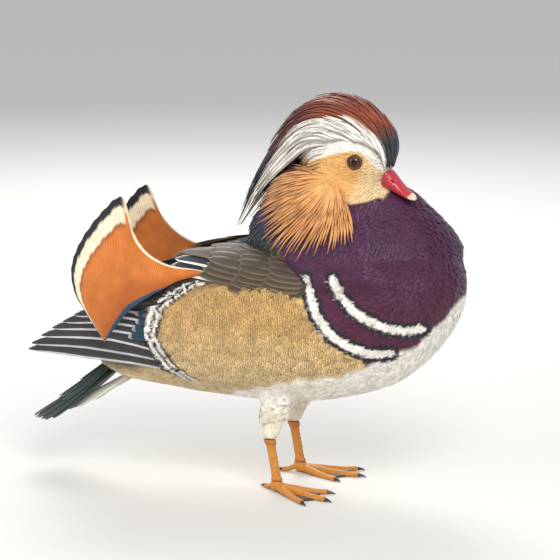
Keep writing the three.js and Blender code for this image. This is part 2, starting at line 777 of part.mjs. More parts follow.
function ruffLock(side, angle, tier, raised) {
  const [cx, cz] = ruffSize.cheek;
  const heading = vector(Math.cos(angle), 0, Math.sin(angle));
  const start = inHead(cx + heading.x * tier.root, side * 26, cz + heading.z * tier.root);
  const along = heading.clone().transformDirection(headMatrix);
  const steps = 3;
  const drop = 0.35;
  const reach = tier.reach * ruffReach(THREE.MathUtils.radToDeg(angle));
  let at = settled(fleshLevel, start, tier.lift[0]);
  const path = [{ at, up: slopeOf(fleshLevel, at).normalize() }];
  const least = [ruffSize.apart.root, ruffSize.apart.tip];
  for (let i = 1; i <= steps; i++) {
    const up = path[i - 1].up;
    const way = along.clone().add(vector(-drop * (i / steps) * 0.5, 0, -drop * (i / steps)));
    way.addScaledVector(up, -way.dot(up)).normalize();
    const lift = lerp(tier.lift[0], tier.lift[1], i / steps) + raised;
    const onward = settled(fleshLevel, at.clone().addScaledVector(way, reach / steps), lift);
    at = keptAside(onward, side, lerp(...least, i / steps));
    path.push({ at, up: slopeOf(fleshLevel, at).normalize() });
  }
  return vane(path, tier.width, pointedTip, 1.1);
}

// The band of skin that the hackles grow from, lying on the cheek.
function ruffBand(side) {
  const [cx, cz] = ruffSize.cheek;
  const { inner, outer, thickness } = ruffSize.band;
  const [{ from, to }] = ruffSize.tiers;
  const [rows, columns] = [2, 9];
  const grid = [];
  for (let i = 0; i <= rows; i++) {
    const row = [];
    for (let j = 0; j <= columns; j++) {
      const angle = degToRad(lerp(from + 1, to - 1, j / columns));
      const reach = lerp(inner, outer, i / rows);
      const start = inHead(cx + Math.cos(angle) * reach, side * 26, cz + Math.sin(angle) * reach);
      const at = settled(fleshLevel, start, gap + thickness / 2);
      row.push({ at, up: slopeOf(fleshLevel, at).normalize() });
    }
    grid.push(row);
  }
  return plate(grid, (t, s) => thickness * (t === 0 || s === 0 || s === 1 ? 0.4 : 1));
}

function ruff(side) {
  const locks = [];
  ruffSize.tiers.forEach((tier, row) => {
    for (let i = 0; i < tier.count; i++) {
      const share = (i + (row % 2) * 0.5) / (tier.count - 1 + (row % 2));
      const angle = degToRad(lerp(tier.from, tier.to, share));
      locks.push(ruffLock(side, angle, tier, (i % 2) * ruffSize.stagger));
    }
  });
  return joined([solidOf(ruffBand(side)), ...locks.map(solidOf)]);
}

// Bill

function billForm(top, bottom, shorter, narrower) {
  return new Form({
    matrix: headMatrix.clone().multiply(frameAt(billSize.root, 0, billSize.nod)),
    from: 0,
    to: billSize.length - shorter,
    endRound: billSize.tipRound,
    power: 2.5,
    top,
    bottom,
    halfWidth: billSize.halfWidth.map(([x, y]) => [x, y - narrower]),
  });
}

function bill() {
  const { matrix } = billForm([[0, 1], [1, 1]], [[0, 0], [1, 0]], 0, 0);
  const { culmen, keel, lowerShort, nostril, nail, length } = billSize;
  const half = gap / 2;
  const mirrored = culmen.map(([x, z]) => [x, -z]);
  const whole = solidOf(billForm(culmen, mirrored, 0, 0).geometry(12, 18));
  const aboveMouth = placed(boxBetween([-5, -20, half], [60, 20, 30]), matrix);
  const nailCap = new THREE.SphereGeometry(1, 10, 6).scale(nail.length, nail.width, nail.rise + 1.7);
  const nailPlace = nailCap.translate(length - nail.length - 0.4, 0, 1.6).applyMatrix4(matrix);
  let upper = whole.add(solidOf(nailPlace)).intersect(solidOf(aboveMouth));
  for (const side of Object.values(sides)) {
    const hole = new THREE.SphereGeometry(1, 8, 5).scale(nostril.length, nostril.depth, nostril.height);
    hole.translate(nostril.x, side * 5.6, nostril.z).applyMatrix4(matrix);
    upper = upper.subtract(solidOf(hole));
  }
  const lowerTop = keel.map(([x, z]) => [x, -z]);
  const lowerWhole = solidOf(billForm(lowerTop, keel, lowerShort, 1).geometry(10, 14));
  const belowMouth = placed(boxBetween([-5, -20, -30], [60, 20, -half]), matrix);
  return { upper, lower: lowerWhole.intersect(solidOf(belowMouth)) };
}

// Eyes

// The eyeball's centre in the head's frame, and the way it looks.
function eyePlace(side) {
  const onSkin = settled((p) => headForm.level(p), inHead(eyeSize.x, side * 24, eyeSize.z), 0);
  const outward = slopeOf((p) => headForm.level(p), onSkin).normalize();
  const centre = onSkin.addScaledVector(outward, eyeSize.showing - eyeSize.radius);
  return { centre, outward };
}

function eyeball(side, radius, segments = [14, 9]) {
  return new THREE.SphereGeometry(radius, ...segments).translate(...eyePlace(side).centre);
}

function lids(side) {
  const { centre, outward } = eyePlace(side);
  const { radius, showing, lidRadius, lidTube } = eyeSize;
  const ring = new THREE.TorusGeometry(lidRadius, lidTube, 4, 12).scale(1.08, 0.92, 1);
  const facing = new THREE.Quaternion().setFromUnitVectors(vector(0, 0, 1), outward);
  ring.applyQuaternion(facing);
  return ring.translate(...centre.addScaledVector(outward, radius - showing - 0.35));
}

// Legs and feet

function thigh(side) {
  const { x, y, thighTop, floorToHeel, heelBack, thighRadius, thighFoot } = legSize;
  const rings = [];
  const stations = 8;
  for (let i = 0; i <= stations; i++) {
    const t = i / stations;
    const z = lerp(floorToHeel, thighTop, t);
    const radius = lerp(thighFoot, thighRadius, t ** 1.1);
    const ring = [];
    for (let j = 0; j < 16; j++) {
      const angle = (2 * Math.PI * j) / 16;
      const forward = lerp(-heelBack, 4, t) + Math.cos(angle) * radius * 1.25;
      ring.push(vector(x + forward, side * y + Math.sin(angle) * radius, z));
    }
    rings.push(ring);
  }
  return new LoftGeometry(rings, { capStart: true, capEnd: true });
}

// The bare shank: a slim column with raised plates down its front.
function shank() {
  const { floorToHeel, ankle, heelBack, radius, scutes } = legSize;
  const rings = [];
  const low = ankle;
  const high = floorToHeel - gap;
  const stations = scutes * 2 + 3;
  for (let i = 0; i <= stations; i++) {
    const t = i / stations;
    const joint = 1 + 0.42 * smoothstep(t, 0.8, 0.98) + 0.3 * (1 - smoothstep(t, 0, 0.14));
    const raised = i % 2 && i < stations - 1 ? 0.5 : 0;
    const ring = [];
    for (let j = 0; j < 10; j++) {
      const angle = (2 * Math.PI * j) / 10;
      const front = Math.max(0, Math.cos(angle));
      const reach = radius * joint + raised * front;
      ring.push(vector(
        lerp(0, -heelBack, t) + Math.cos(angle) * reach * 1.15,
        Math.sin(angle) * reach * 0.9,
        lerp(low, high, t),
      ));
    }
    rings.push(ring);
  }
  return new LoftGeometry(rings, { capStart: true, capEnd: true });
}

// One toe: three knuckled joints from the ankle to the claw, cut flat under the sole.
function toe({ angle, length, thick }, isHind) {
  const rings = [];
  const stations = isHind ? 4 : 8;
  const rise = isHind ? 7 : 4.6;
  for (let i = 0; i <= stations; i++) {
    const t = i / stations;
    const knuckle = isHind ? 0 : 0.35 * Math.max(0, Math.cos(t * 3 * 2 * Math.PI)) * (t > 0.1 ? 1 : 0);
    const radius = lerp(thick, footSize.tipThick, t) + knuckle;
    const height = lerp(rise, footSize.tipThick * 0.86, Math.min(1, t * 1.5));
    const ring = [];
    for (let j = 0; j < 7; j++) {
      const turn = (2 * Math.PI * (j + 0.25)) / 7;
      ring.push(vector(t * length, Math.cos(turn) * radius, height + Math.sin(turn) * radius * 0.95));
    }
    rings.push(ring);
  }
  return new LoftGeometry(rings, { capStart: true, capEnd: true }).rotateZ(degToRad(angle));
}

// The webs between the three front toes, with hollowed front edges.
function web(toes) {
  const { reach, scallop, thickness, from } = footSize.web;
  const tipOf = ({ angle, length }, share) => new THREE.Vector2(
    Math.cos(degToRad(angle)) * length * share,
    Math.sin(degToRad(angle)) * length * share,
  );
  const shape = new THREE.Shape();
  const [first, middle, last] = toes;
  shape.moveTo(0, 0);
  shape.lineTo(...tipOf(last, reach));
  for (const [a, b] of [[last, middle], [middle, first]]) {
    const hollow = tipOf(a, scallop).add(tipOf(b, scallop)).multiplyScalar(0.56);
    shape.quadraticCurveTo(hollow.x, hollow.y, ...tipOf(b, reach));
  }
  shape.lineTo(0, 0);
  return new THREE.ExtrudeGeometry(shape, { depth: thickness, bevelEnabled: false, curveSegments: 5 })
    .translate(0, 0, from);
}

const toesOf = (side) => footSize.toes.map((toeSize) => ({ ...toeSize, angle: -side * toeSize.angle }));

function foot(side) {
  const toes = toesOf(side);
  const front = toes.slice(0, 3).sort((a, b) => b.angle - a.angle);
  const pieces = toes.map((toeSize) => toe(toeSize, toeSize.name === 'hind'));
  const knob = new THREE.SphereGeometry(5.2, 12, 8).scale(1.1, 0.95, 1.1).translate(0, 0, 5.5);
  const above = boxBetween([-80, -80, 0], [80, 80, legSize.ankle - gap]);
  return joined([...pieces, knob, web(front)].map(solidOf)).intersect(solidOf(above));
}

function claw({ angle, length: toeLength }) {
  const { length, radius, drop } = footSize.claw;
  const rings = [];
  const stations = 4;
  const tipRadius = 0.35;
  for (let i = 0; i <= stations; i++) {
    const t = i / stations;
    const reach = lerp(radius, tipRadius, t);
    const ring = [];
    for (let j = 0; j < 6; j++) {
      const turn = (2 * Math.PI * j) / 6;
      ring.push(vector(
        toeLength + gap + t * length,
        Math.cos(turn) * reach,
        footSize.tipThick * 0.9 - drop * t * t + Math.sin(turn) * reach,
      ));
    }
    rings.push(ring);
  }
  return new LoftGeometry(rings, { capStart: true, capEnd: true }).rotateZ(degToRad(angle));
}

// Materials

const finish = (color, roughness) => new THREE.MeshStandardMaterial({ color, roughness, metalness: 0 });
const finishes = {
  flank: finish(0xc08a3e, 0.75),
  breast: finish(0x5a1f3a, 0.6),
  face: finish(0xe9dcc2, 0.75),
  crest: finish(0x8a3f1c, 0.5),
  hackle: finish(0xc2641f, 0.6),
  wing: finish(0x3a3a34, 0.6),
  sail: finish(0xd2752a, 0.6),
  tail: finish(0x3b352c, 0.65),
  belly: finish(0xf2ede2, 0.85),
  bill: finish(0xb3222c, 0.35),
  eye: finish(0x1a0f0a, 0.05),
  leg: finish(0xd98a2b, 0.5),
  claw: finish(0x2a2420, 0.4),
};

// Putting the bird together

const duck = new THREE.Group();
const headGroup = new THREE.Group();
headGroup.applyMatrix4(headMatrix);
duck.add(headGroup);

function addNode(parent, name, solid, material) {
  parent.updateWorldMatrix(true, false);
  const whole = largest(largest(solid).simplify(0.05));
  const geometry = geometryOf(whole).applyMatrix4(parent.matrixWorld.clone().invert());
  const mesh = new THREE.Mesh(geometry, material);
  mesh.name = name;
  parent.add(mesh);
}

const trunkGeometry = trunkForm.geometry(20, 32);
const neckGeometry = flared(neckForm.geometry(12, 28), trunkForm, neckSize.blend);
const headGeometry = headForm.geometry(16, 26);
const fleshForms = [trunkGeometry, neckGeometry, headGeometry, flank(right), flank(left)];
const aroundFlesh = fleshForms.map((geometry) => solidOf(grown(geometry, gap * 1.3)));

// The flesh is one body, parted by thin cuts at the foot of the neck and under the head.
const neckCut = { z: 198, slope: -7 };
const headCut = { z: 242, slope: 4 };
const flesh = joined(fleshForms.map(solidOf));

function slabAbove({ z, slope }, extra) {
  const block = boxBetween([-400, -200, 0], [400, 200, 400]).rotateY(-degToRad(slope));
  return solidOf(block.translate(neckSize.foot[0], 0, z + extra));
}

const aboveNeck = flesh.intersect(slabAbove(neckCut, gap));
const eyelids = Object.values(sides).map((side) => solidOf(lids(side)));
const sockets = Object.values(sides).map((side) => solidOf(eyeball(side, eyeSize.radius + 1.4 * gap, [10, 7])));
const billPieces = bill();

const headSolid = without(joined([aboveNeck.intersect(slabAbove(headCut, gap)), ...eyelids]), sockets);
addNode(duck, 'torso', flesh.subtract(slabAbove(neckCut, 0)), finishes.flank);
addNode(duck, 'neck', aboveNeck.subtract(slabAbove(headCut, 0)), finishes.breast);
addNode(headGroup, 'head', headSolid, finishes.face);
addNode(headGroup, 'bill_upper', without(billPieces.upper, aroundFlesh), finishes.bill);
addNode(headGroup, 'bill_lower', without(billPieces.lower, aroundFlesh), finishes.bill);
addNode(headGroup, 'crest', without(solidOf(placed(geometryOf(crest()), headMatrix)), aroundFlesh), finishes.crest);

addNode(duck, 'tail', without(tail(), aroundFlesh), finishes.tail);

for (const [name, side] of Object.entries(sides)) {
  addNode(headGroup, `eye_${name}`, solidOf(eyeball(side, eyeSize.radius)), finishes.eye);
  addNode(headGroup, `ruff_${name}`, without(ruff(side), aroundFlesh), finishes.hackle);

  const sailSolid = solidOf(sailPlate(side, sailSize.thickness));
  const sailSlot = solidOf(sailPlate(side, sailSize.thickness + 2 * gap));
  addNode(duck, `wing_${name}`, without(wing(side), [...aroundFlesh, sailSlot]), finishes.wing);
  addNode(duck, `sail_${name}`, without(sailSolid, aroundFlesh), finishes.sail);

  const legGroup = new THREE.Group();
  legGroup.position.set(legSize.x, side * legSize.y, 0);
  duck.add(legGroup);
  addNode(duck, `thigh_${name}`, without(solidOf(thigh(side)), aroundFlesh), finishes.belly);
  legGroup.updateWorldMatrix(true, false);
  const standing = (geometry) => placed(geometry, legGroup.matrixWorld);
  addNode(legGroup, `leg_${name}`, solidOf(standing(shank())), finishes.leg);

  const footGroup = new THREE.Group();
  footGroup.rotation.z = degToRad(footSize.turn[name]);
  legGroup.add(footGroup);
  footGroup.updateWorldMatrix(true, false);
  const onFoot = (geometry) => placed(geometry, footGroup.matrixWorld);
  addNode(footGroup, `foot_${name}`, solidOf(onFoot(geometryOf(foot(side)))), finishes.leg);
  for (const toeSize of toesOf(side)) {
    addNode(footGroup, `claw_${toeSize.name}_${name}`, solidOf(onFoot(claw(toeSize))), finishes.claw);
  }
}

// The origin is on the floor under the middle of the bird's bounding box.
const bounds = new THREE.Box3().setFromObject(duck, true);
const middleOfBounds = bounds.getCenter(new THREE.Vector3());
duck.position.set(-middleOfBounds.x, -middleOfBounds.y, -bounds.min.z);
duck.updateMatrixWorld(true);

export default duck;
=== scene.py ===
# A mandarin drake at rest: one smooth skin, small body feathers, wings, sails, tail, crest, cheek
# hackles, bill, eyes and legs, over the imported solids. Lengths are millimetres until a mesh is made.

import math

import bmesh
import bpy
import numpy as np
from mathutils import Matrix, Vector
from mathutils.bvhtree import BVHTree


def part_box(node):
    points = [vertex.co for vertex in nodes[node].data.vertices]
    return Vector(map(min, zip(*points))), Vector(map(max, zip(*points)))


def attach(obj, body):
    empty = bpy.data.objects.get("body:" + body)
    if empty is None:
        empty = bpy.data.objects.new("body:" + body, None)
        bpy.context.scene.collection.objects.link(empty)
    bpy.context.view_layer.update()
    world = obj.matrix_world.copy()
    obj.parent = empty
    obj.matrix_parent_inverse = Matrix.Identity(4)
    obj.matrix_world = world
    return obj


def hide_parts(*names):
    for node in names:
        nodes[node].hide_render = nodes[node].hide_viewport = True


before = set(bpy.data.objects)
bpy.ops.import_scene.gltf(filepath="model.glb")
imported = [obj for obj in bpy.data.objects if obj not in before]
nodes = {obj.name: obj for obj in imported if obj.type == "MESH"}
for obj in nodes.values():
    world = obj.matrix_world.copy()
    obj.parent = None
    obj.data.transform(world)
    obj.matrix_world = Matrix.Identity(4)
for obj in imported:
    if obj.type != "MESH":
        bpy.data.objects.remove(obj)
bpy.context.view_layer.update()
rng = np.random.default_rng(7)
sides = {"right": -1, "left": 1}


def boxMiddle(node):
    low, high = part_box(node)
    return (np.array(low) + np.array(high)) / 2 * 1000


# The bird's own origin is on the floor between the legs, 5 mm ahead of their middle.
legMiddle = (boxMiddle("leg_right") + boxMiddle("leg_left")) / 2
shift = np.array([legMiddle[0] + 5.16, legMiddle[1], 0.0])


# Colours and materials

def srgb(code):
    channels = np.array([int(code[i:i + 2], 16) for i in (1, 3, 5)]) / 255
    return np.where(channels <= 0.04045, channels / 12.92, ((channels + 0.055) / 1.055) ** 2.4)


def palette(**codes):
    return {name: srgb(code) for name, code in codes.items()}


def smooth(value, low, high):
    t = np.clip((np.asarray(value, float) - low) / (high - low), 0, 1)
    return t * t * (3 - 2 * t)


def mix(a, b, share):
    share = np.asarray(share, float)[..., None]
    return np.asarray(a) * (1 - share) + np.asarray(b) * share


def fillInputs(tree, node, values):
    for name, value in values.items():
        socket = node.inputs[name]
        if isinstance(value, bpy.types.NodeSocket):
            tree.links.new(value, socket)
        else:
            socket.default_value = value


# Adds a shader node. Named values are its settings or its inputs, and the others fill its inputs in
# order. A value that is another node's socket is linked.
def addNode(tree, kind, *ordered, **named):
    node = tree.nodes.new("ShaderNode" + kind)
    for name in [name for name in named if hasattr(node, name)]:
        setattr(node, name, named.pop(name))
    fillInputs(tree, node, dict(enumerate(ordered)))
    fillInputs(tree, node, {name.replace("_", " "): value for name, value in named.items()})
    return node


# A material whose colour comes from the mesh, lighter and darker in patches. scale is in patches per
# metre, and low is where the noise begins to count.
def startMaterial(name, scale, detail, low, spread):
    material = bpy.data.materials.new(name)
    material.use_nodes = True
    tree = material.node_tree
    colour = addNode(tree, "Attribute", attribute_name="Col")
    place = addNode(tree, "TexCoord").outputs["Object"]
    noise = addNode(tree, "TexNoise", Vector=place, Scale=scale, Detail=detail).outputs["Fac"]
    vary = addNode(
        tree, "MapRange", Value=noise, From_Min=low, From_Max=1 - low, To_Min=1 - spread, To_Max=1 + spread,
    )
    return material, colour, place, noise, vary.outputs["Result"]


def plumage(name, settings):
    material, colour, place, _, vary = startMaterial(name, 90.0, 3.0, 0.3, settings.get("spread", 0.16))
    tree = material.node_tree
    barb = addNode(tree, "Attribute", attribute_name="barb").outputs["Fac"]
    turns = addNode(tree, "Math", barb, 2 * math.pi / settings["barb"], operation="MULTIPLY").outputs[0]
    wave = addNode(tree, "Math", turns, operation="SINE").outputs[0]
    shade = addNode(tree, "Math", wave, settings.get("barbShade", 0.08), vary, operation="MULTIPLY_ADD")
    tint = addNode(tree, "VectorMath", colour.outputs["Color"], Scale=shade.outputs[0], operation="SCALE")
    result = tint.outputs[0]
    if "fine" in settings:
        # Dark wavy lines on the feathers whose alpha asks for them.
        lines = addNode(
            tree, "TexWave", wave_type="BANDS", bands_direction="X", Vector=place, Scale=settings["fine"],
            Distortion=9.0, Detail=2.0, Detail_Scale=2.2,
        )
        sharp = addNode(tree, "MapRange", Value=lines.outputs["Fac"], From_Min=0.42, From_Max=0.62)
        amount = addNode(tree, "Math", sharp.outputs["Result"], colour.outputs["Alpha"], operation="MULTIPLY")
        dark = addNode(
            tree, "Mix", data_type="RGBA", blend_type="MIX", Factor=amount.outputs[0], A=result,
            B=(*srgb(settings["fineColour"]), 1),
        )
        result = dark.outputs["Result"]
    relief = addNode(tree, "Bump", Strength=settings.get("relief", 0.25), Distance=0.0004, Height=wave)
    shader = tree.nodes["Principled BSDF"]
    fillInputs(tree, shader, {
        "Base Color": result, "Normal": relief.outputs["Normal"], "Roughness": settings["roughness"],
        "Specular IOR Level": 0.3, "Sheen Weight": settings.get("sheen", 0.12), "Sheen Roughness": 0.5,
        "Coat Roughness": 0.3, "Coat Tint": (*srgb(settings.get("coatTint", "#ffffff")), 1),
    })
    if "coat" in settings:
        # The gloss of dark feathers is coloured; pale ones have none.
        dull = addNode(tree, "RGBToBW", colour.outputs["Color"]).outputs[0]
        gloss = addNode(
            tree, "MapRange", Value=dull, From_Min=0.03, From_Max=0.2, To_Min=settings["coat"], To_Max=0.0,
        )
        fillInputs(tree, shader, {"Coat Weight": gloss.outputs["Result"]})
    return material


# Horn, scaly skin and wet surfaces, with the grain or cells of a given number per metre as relief
def surface(name, settings):
    material, colour, place, height, vary = startMaterial(name, settings["grain"], 4.0, 0.25, settings["spread"])
    tree = material.node_tree
    tint = addNode(tree, "VectorMath", colour.outputs["Color"], Scale=vary, operation="SCALE")
    if "cells" in settings:
        cells = addNode(tree, "TexVoronoi", feature="DISTANCE_TO_EDGE", Vector=place, Scale=settings["cells"])
        edges = addNode(tree, "MapRange", Value=cells.outputs["Distance"], From_Min=0.0, From_Max=0.12)
        height = edges.outputs["Result"]
    relief = addNode(tree, "Bump", Strength=settings["relief"], Distance=0.0003, Height=height)
    fillInputs(tree, tree.nodes["Principled BSDF"], {
        "Base Color": tint.outputs[0], "Normal": relief.outputs["Normal"], "Roughness": settings["roughness"],
        "Specular IOR Level": settings.get("specular", 0.5), "Coat Weight": settings.get("coat", 0.0),
        "Coat Roughness": 0.08, "Subsurface Weight": settings.get("soft", 0.0),
        "Subsurface Radius": (0.003, 0.001, 0.0006),
    })
    return material


# Feather keratin: loose vanes are matt with a soft sheen, and dense dark ones have a coloured gloss.
# barb is the spacing of the ridges in millimetres, coarser than real barbs so that it shows.
plumageSettings = {
    # Buff feathers with fine dark lines, 210 a metre, or 4.8 mm apart.
    "body": {"roughness": 0.68, "barb": 0.8, "fine": 210.0, "fineColour": "#4a3418", "sheen": 0.2},
    "head": {"roughness": 0.62, "barb": 0.5, "spread": 0.1, "sheen": 0.2},
    "breast": {"roughness": 0.5, "barb": 0.8, "coat": 0.2, "coatTint": "#a676c8", "sheen": 0.1},
    "crest": {"roughness": 0.45, "barb": 0.5, "coat": 0.3, "coatTint": "#c8b0ff", "spread": 0.2},
    "hackle": {"roughness": 0.55, "barb": 0.5, "spread": 0.18},
    # Stiff flight feathers: their ridges stand out more.
    "wing": {"roughness": 0.5, "barb": 1.0, "barbShade": 0.07, "relief": 0.35},
    "sail": {"roughness": 0.55, "barb": 1.6, "barbShade": 0.16, "relief": 0.6, "spread": 0.14},
    "tail": {"roughness": 0.5, "barb": 1.0, "coat": 0.25, "coatTint": "#9fd8c0"},
    # Skin and down under the coat: dull and without ridges.
    "skin": {"roughness": 0.8, "barb": 3.0, "barbShade": 0.0, "relief": 0.0},
}
materials = {name: plumage(f"{name} feathers", values) for name, values in plumageSettings.items()}
# Bill horn is smooth, a little see-through and slightly wet.
materials["horn"] = surface("bill horn", {
    "grain": 260.0, "spread": 0.12, "relief": 0.12, "roughness": 0.3, "coat": 0.25, "soft": 0.08,
})
# Leg skin has raised scales 1.6 mm across.
materials["leg"] = surface("scaly leg skin", {
    "grain": 320.0, "spread": 0.16, "relief": 0.55, "roughness": 0.48, "cells": 620.0, "coat": 0.08,
})
# Claw horn is harder and plain.
materials["claw"] = surface("claw horn", {"grain": 500.0, "spread": 0.2, "relief": 0.1, "roughness": 0.35})
# A wet eye mirrors the lights sharply.
materials["eye"] = surface("wet eye", {
    "grain": 900.0, "spread": 0.2, "relief": 0.0, "roughness": 0.06, "specular": 0.3, "coat": 0.12,
})
print("materials made")


# Meshes

def setPlaces(mesh, places):
    mesh.vertices.foreach_set("co", ((places + shift) / 1000).astype(np.float32).ravel())
    mesh.update()


def paint(mesh, colours, barbs=0.0):
    if colours.shape[1] == 3:
        colours = np.hstack([colours, np.zeros((len(colours), 1))])
    attribute = mesh.color_attributes.new("Col", "FLOAT_COLOR", "POINT")
    attribute.data.foreach_set("color", np.clip(colours, 0, 1).astype(np.float32).ravel())
    ridges = mesh.attributes.new("barb", "FLOAT", "POINT")
    ridges.data.foreach_set("value", np.full(len(colours), barbs, np.float32))


def addPiece(name, mesh):
    piece = bpy.data.objects.new(name, mesh)
    bpy.context.scene.collection.objects.link(piece)
    return piece


# The object of a bmesh, which is used up
def pieceOf(name, shape):
    mesh = bpy.data.meshes.new(name)
    shape.to_mesh(mesh)
    shape.free()
    mesh.shade_smooth()
    return addPiece(name, mesh)


def meshFrom(name, places, quads, colours, barbs, uv):
    mesh = bpy.data.meshes.new(name)
    mesh.vertices.add(len(places))
    setPlaces(mesh, places)
    mesh.loops.add(quads.size)
    mesh.loops.foreach_set("vertex_index", quads.astype(np.int32).ravel())
    mesh.polygons.add(len(quads))
    mesh.polygons.foreach_set("loop_start", np.arange(0, quads.size, 4, dtype=np.int32))
    mesh.update(calc_edges=True)
    mesh.shade_smooth()
    paint(mesh, colours, barbs)
    layer = mesh.uv_layers.new(name="OFBake")
    layer.data.foreach_set("uv", uv[quads.ravel()].astype(np.float32).ravel())
    return addPiece(name, mesh)


def finishPiece(piece, material, slot, *replaced):
    piece.data.materials.clear()
    piece.data.materials.append(materials[material])
    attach(piece, "root")
    if replaced:
        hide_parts(*replaced)


def unit(vectors):
    return vectors / np.maximum(np.linalg.norm(vectors, axis=-1, keepdims=True), 1e-9)


# Cross-sections of a vane: places across from -1 to 1, heights in shares of the thickness.
slimRing = (np.array([-1, 0, 1, 0.0]), np.array([0, 1, 0, -1.0]) / 2)
wideAcross = np.array([-1, -0.74, -0.62, -0.08, 0.08, 0.62, 0.74, 1.0])
wideTop = [0.2, 0.45, 0.5, 1.0, 1.0, 0.5, 0.45, 0.2]
wideUnder = [-0.2, -0.45, -0.5, -0.5, -0.5, -0.5, -0.45, -0.2]
wideRing = (np.concatenate([wideAcross, wideAcross[::-1]]), np.array(wideTop + wideUnder))
uvPatch = 0.003  # side of a feather's place on the skin's unwrap


# Many closed vanes as one mesh. paths and ups are (vanes, stations, 3), half and thick are
# (vanes, stations), colours is (vanes, stations, ring, 3 or 4). finish is material, slot and nodes.
def vanes(name, paths, ups, half, thick, colours, finish, uvRoots=None, ring=slimRing, sleek=None):
    across, height = ring
    count, stations, size = paths.shape[0], paths.shape[1], len(across)
    if uvRoots is None:
        uvRoots = onSkin(paths[:, 0])[2]
    half, thick = (np.broadcast_to(sizes, (count, stations)) for sizes in (half, thick))
    ups = unit(ups)[:, :, None, :]
    side = unit(np.cross(np.gradient(paths, axis=1)[:, :, None, :], ups))
    verts = paths[:, :, None, :] + side * (half[:, :, None] * across)[..., None]
    verts = verts + ups * (thick[:, :, None] * height)[..., None]
    steps = np.linalg.norm(np.diff(paths, axis=1), axis=2)
    distance = np.concatenate([np.zeros((count, 1)), np.cumsum(steps, axis=1)], axis=1)
    barbs = distance[:, :, None] - np.abs(across) * half[:, :, None]
    one = []
    for i in range(stations - 1):
        for k in range(size):
            n = (k + 1) % size
            one.append((i * size + k, i * size + n, (i + 1) * size + n, (i + 1) * size + k))
    last = (stations - 1) * size
    for low in range(size // 2 - 1):
        high = size - 1 - low
        one.append((low, high, high - 1, low + 1))
        one.append((last + low, last + low + 1, last + high - 1, last + high))
    one = np.array(one)
    quads = (np.arange(count)[:, None, None] * stations * size + one[None]).reshape(-1, 4)
    spot = np.stack(np.broadcast_arrays(across * 0.5 + 0.5, np.linspace(0, 1, stations)[:, None]), axis=-1)
    uv = (uvRoots[:, None, None, :] + spot * uvPatch).reshape(-1, 2)
    channels = colours.shape[-1]
    colours = np.broadcast_to(colours, (count, stations, size, channels)).reshape(-1, channels)
    piece = meshFrom(name, verts.reshape(-1, 3), quads, colours, barbs.ravel(), uv)
    if sleek is not None:
        # The light falls on the coat as on one body, with each feather only slightly rounded.
        rounded = side * (across * sleek)[:, None]
        over, under = (unit(way * ups + rounded).reshape(-1, 3) for way in (1, -1))
        isUnder = np.zeros((len(one), 4), bool)
        isUnder[:last].reshape(stations - 1, size, 4)[:, size // 2:] = True
        isUnder = np.tile(isUnder.ravel(), count)[:, None]
        corner = quads.ravel()
        piece.data.normals_split_custom_set(np.where(isUnder, under[corner], over[corner]).tolist())
    finishPiece(piece, *finish)


# The head's own frame

def turned(turn, nod):
    return np.array(Matrix.Rotation(math.radians(turn), 3, "Z") @ Matrix.Rotation(math.radians(nod), 3, "Y"))


head = {"centre": np.array([54, -5, 266.0]), "axes": turned(-13, 16)}


def inHead(places):
    return (places - head["centre"]) @ head["axes"]


def fromHead(places):
    return places @ head["axes"].T + head["centre"]


# A smooth curve through pairs, as on the solids
def profile(pairs):
    xs, ys = np.array(pairs, float).T
    slopes = np.gradient(ys, xs)
    slopes[1:-1] = (ys[2:] - ys[:-2]) / (xs[2:] - xs[:-2])

    def at(value):
        value = np.clip(value, xs[0], xs[-1])
        i = np.clip(np.searchsorted(xs, value, side="right") - 1, 0, len(xs) - 2)
        width = xs[i + 1] - xs[i]
        u = (value - xs[i]) / width
        return (
            ys[i] + (ys[i + 1] - ys[i]) * (3 * u ** 2 - 2 * u ** 3)
            + slopes[i] * width * (u ** 3 - 2 * u ** 2 + u) + slopes[i + 1] * width * (u ** 3 - u ** 2)
        )

    return at


# The surface that the folded wings lie on
wingLie = {
    "power": 2.25,
    "back": profile([[-225, 123], [-170, 149], [-110, 174], [-60, 194.5], [0, 206], [40, 213], [80, 220]]),
    "belly": profile([[-225, 70], [-170, 66], [-110, 72], [-60, 71], [0, 69], [40, 73], [80, 84]]),
    "width": profile([[-225, 17], [-170, 30], [-110, 43], [-60, 53.5], [0, 60.7], [40, 62.2], [80, 60.8]]),
}


# One seamless skin from the fleshy solids, drawn in by the depth of the coat

def copyOf(nodeNames, name, voxel, rounds, fillings=()):
    joined = bmesh.new()
    for mesh in [nodes[node].data for node in nodeNames] + list(fillings):
        joined.from_mesh(mesh)
    piece = pieceOf(name, joined)
    remesh = piece.modifiers.new("Remesh", "REMESH")
    remesh.mode = "VOXEL"
    remesh.voxel_size = voxel / 1000
    ease = piece.modifiers.new("Smooth", "SMOOTH")
    ease.factor = 0.5
    ease.iterations = rounds
    evaluated = piece.evaluated_get(bpy.context.evaluated_depsgraph_get())
    mesh = bpy.data.meshes.new_from_object(evaluated)
    piece.modifiers.clear()
    piece.data = mesh
    mesh.name = name
    mesh.shade_smooth()
    return piece


def vertexArrays(mesh):
    places = np.empty(len(mesh.vertices) * 3, np.float32)
    normals = np.empty(len(mesh.vertices) * 3, np.float32)
    mesh.vertices.foreach_get("co", places)
    mesh.vertices.foreach_get("normal", normals)
    return places.reshape(-1, 3).astype(float) * 1000 - shift, normals.reshape(-1, 3).astype(float)


coatDepths = {"body": 2.8, "head": 1.0, "thigh": 0.9}


def coatDepth(places):
    onHead = smooth(places[:, 2], 225, 245)
    onThigh = smooth(-places[:, 2], -74, -60)
    deep = coatDepths["body"] * (1 - onHead) + coatDepths["head"] * onHead
    return deep * (1 - onThigh) + coatDepths["thigh"] * onThigh


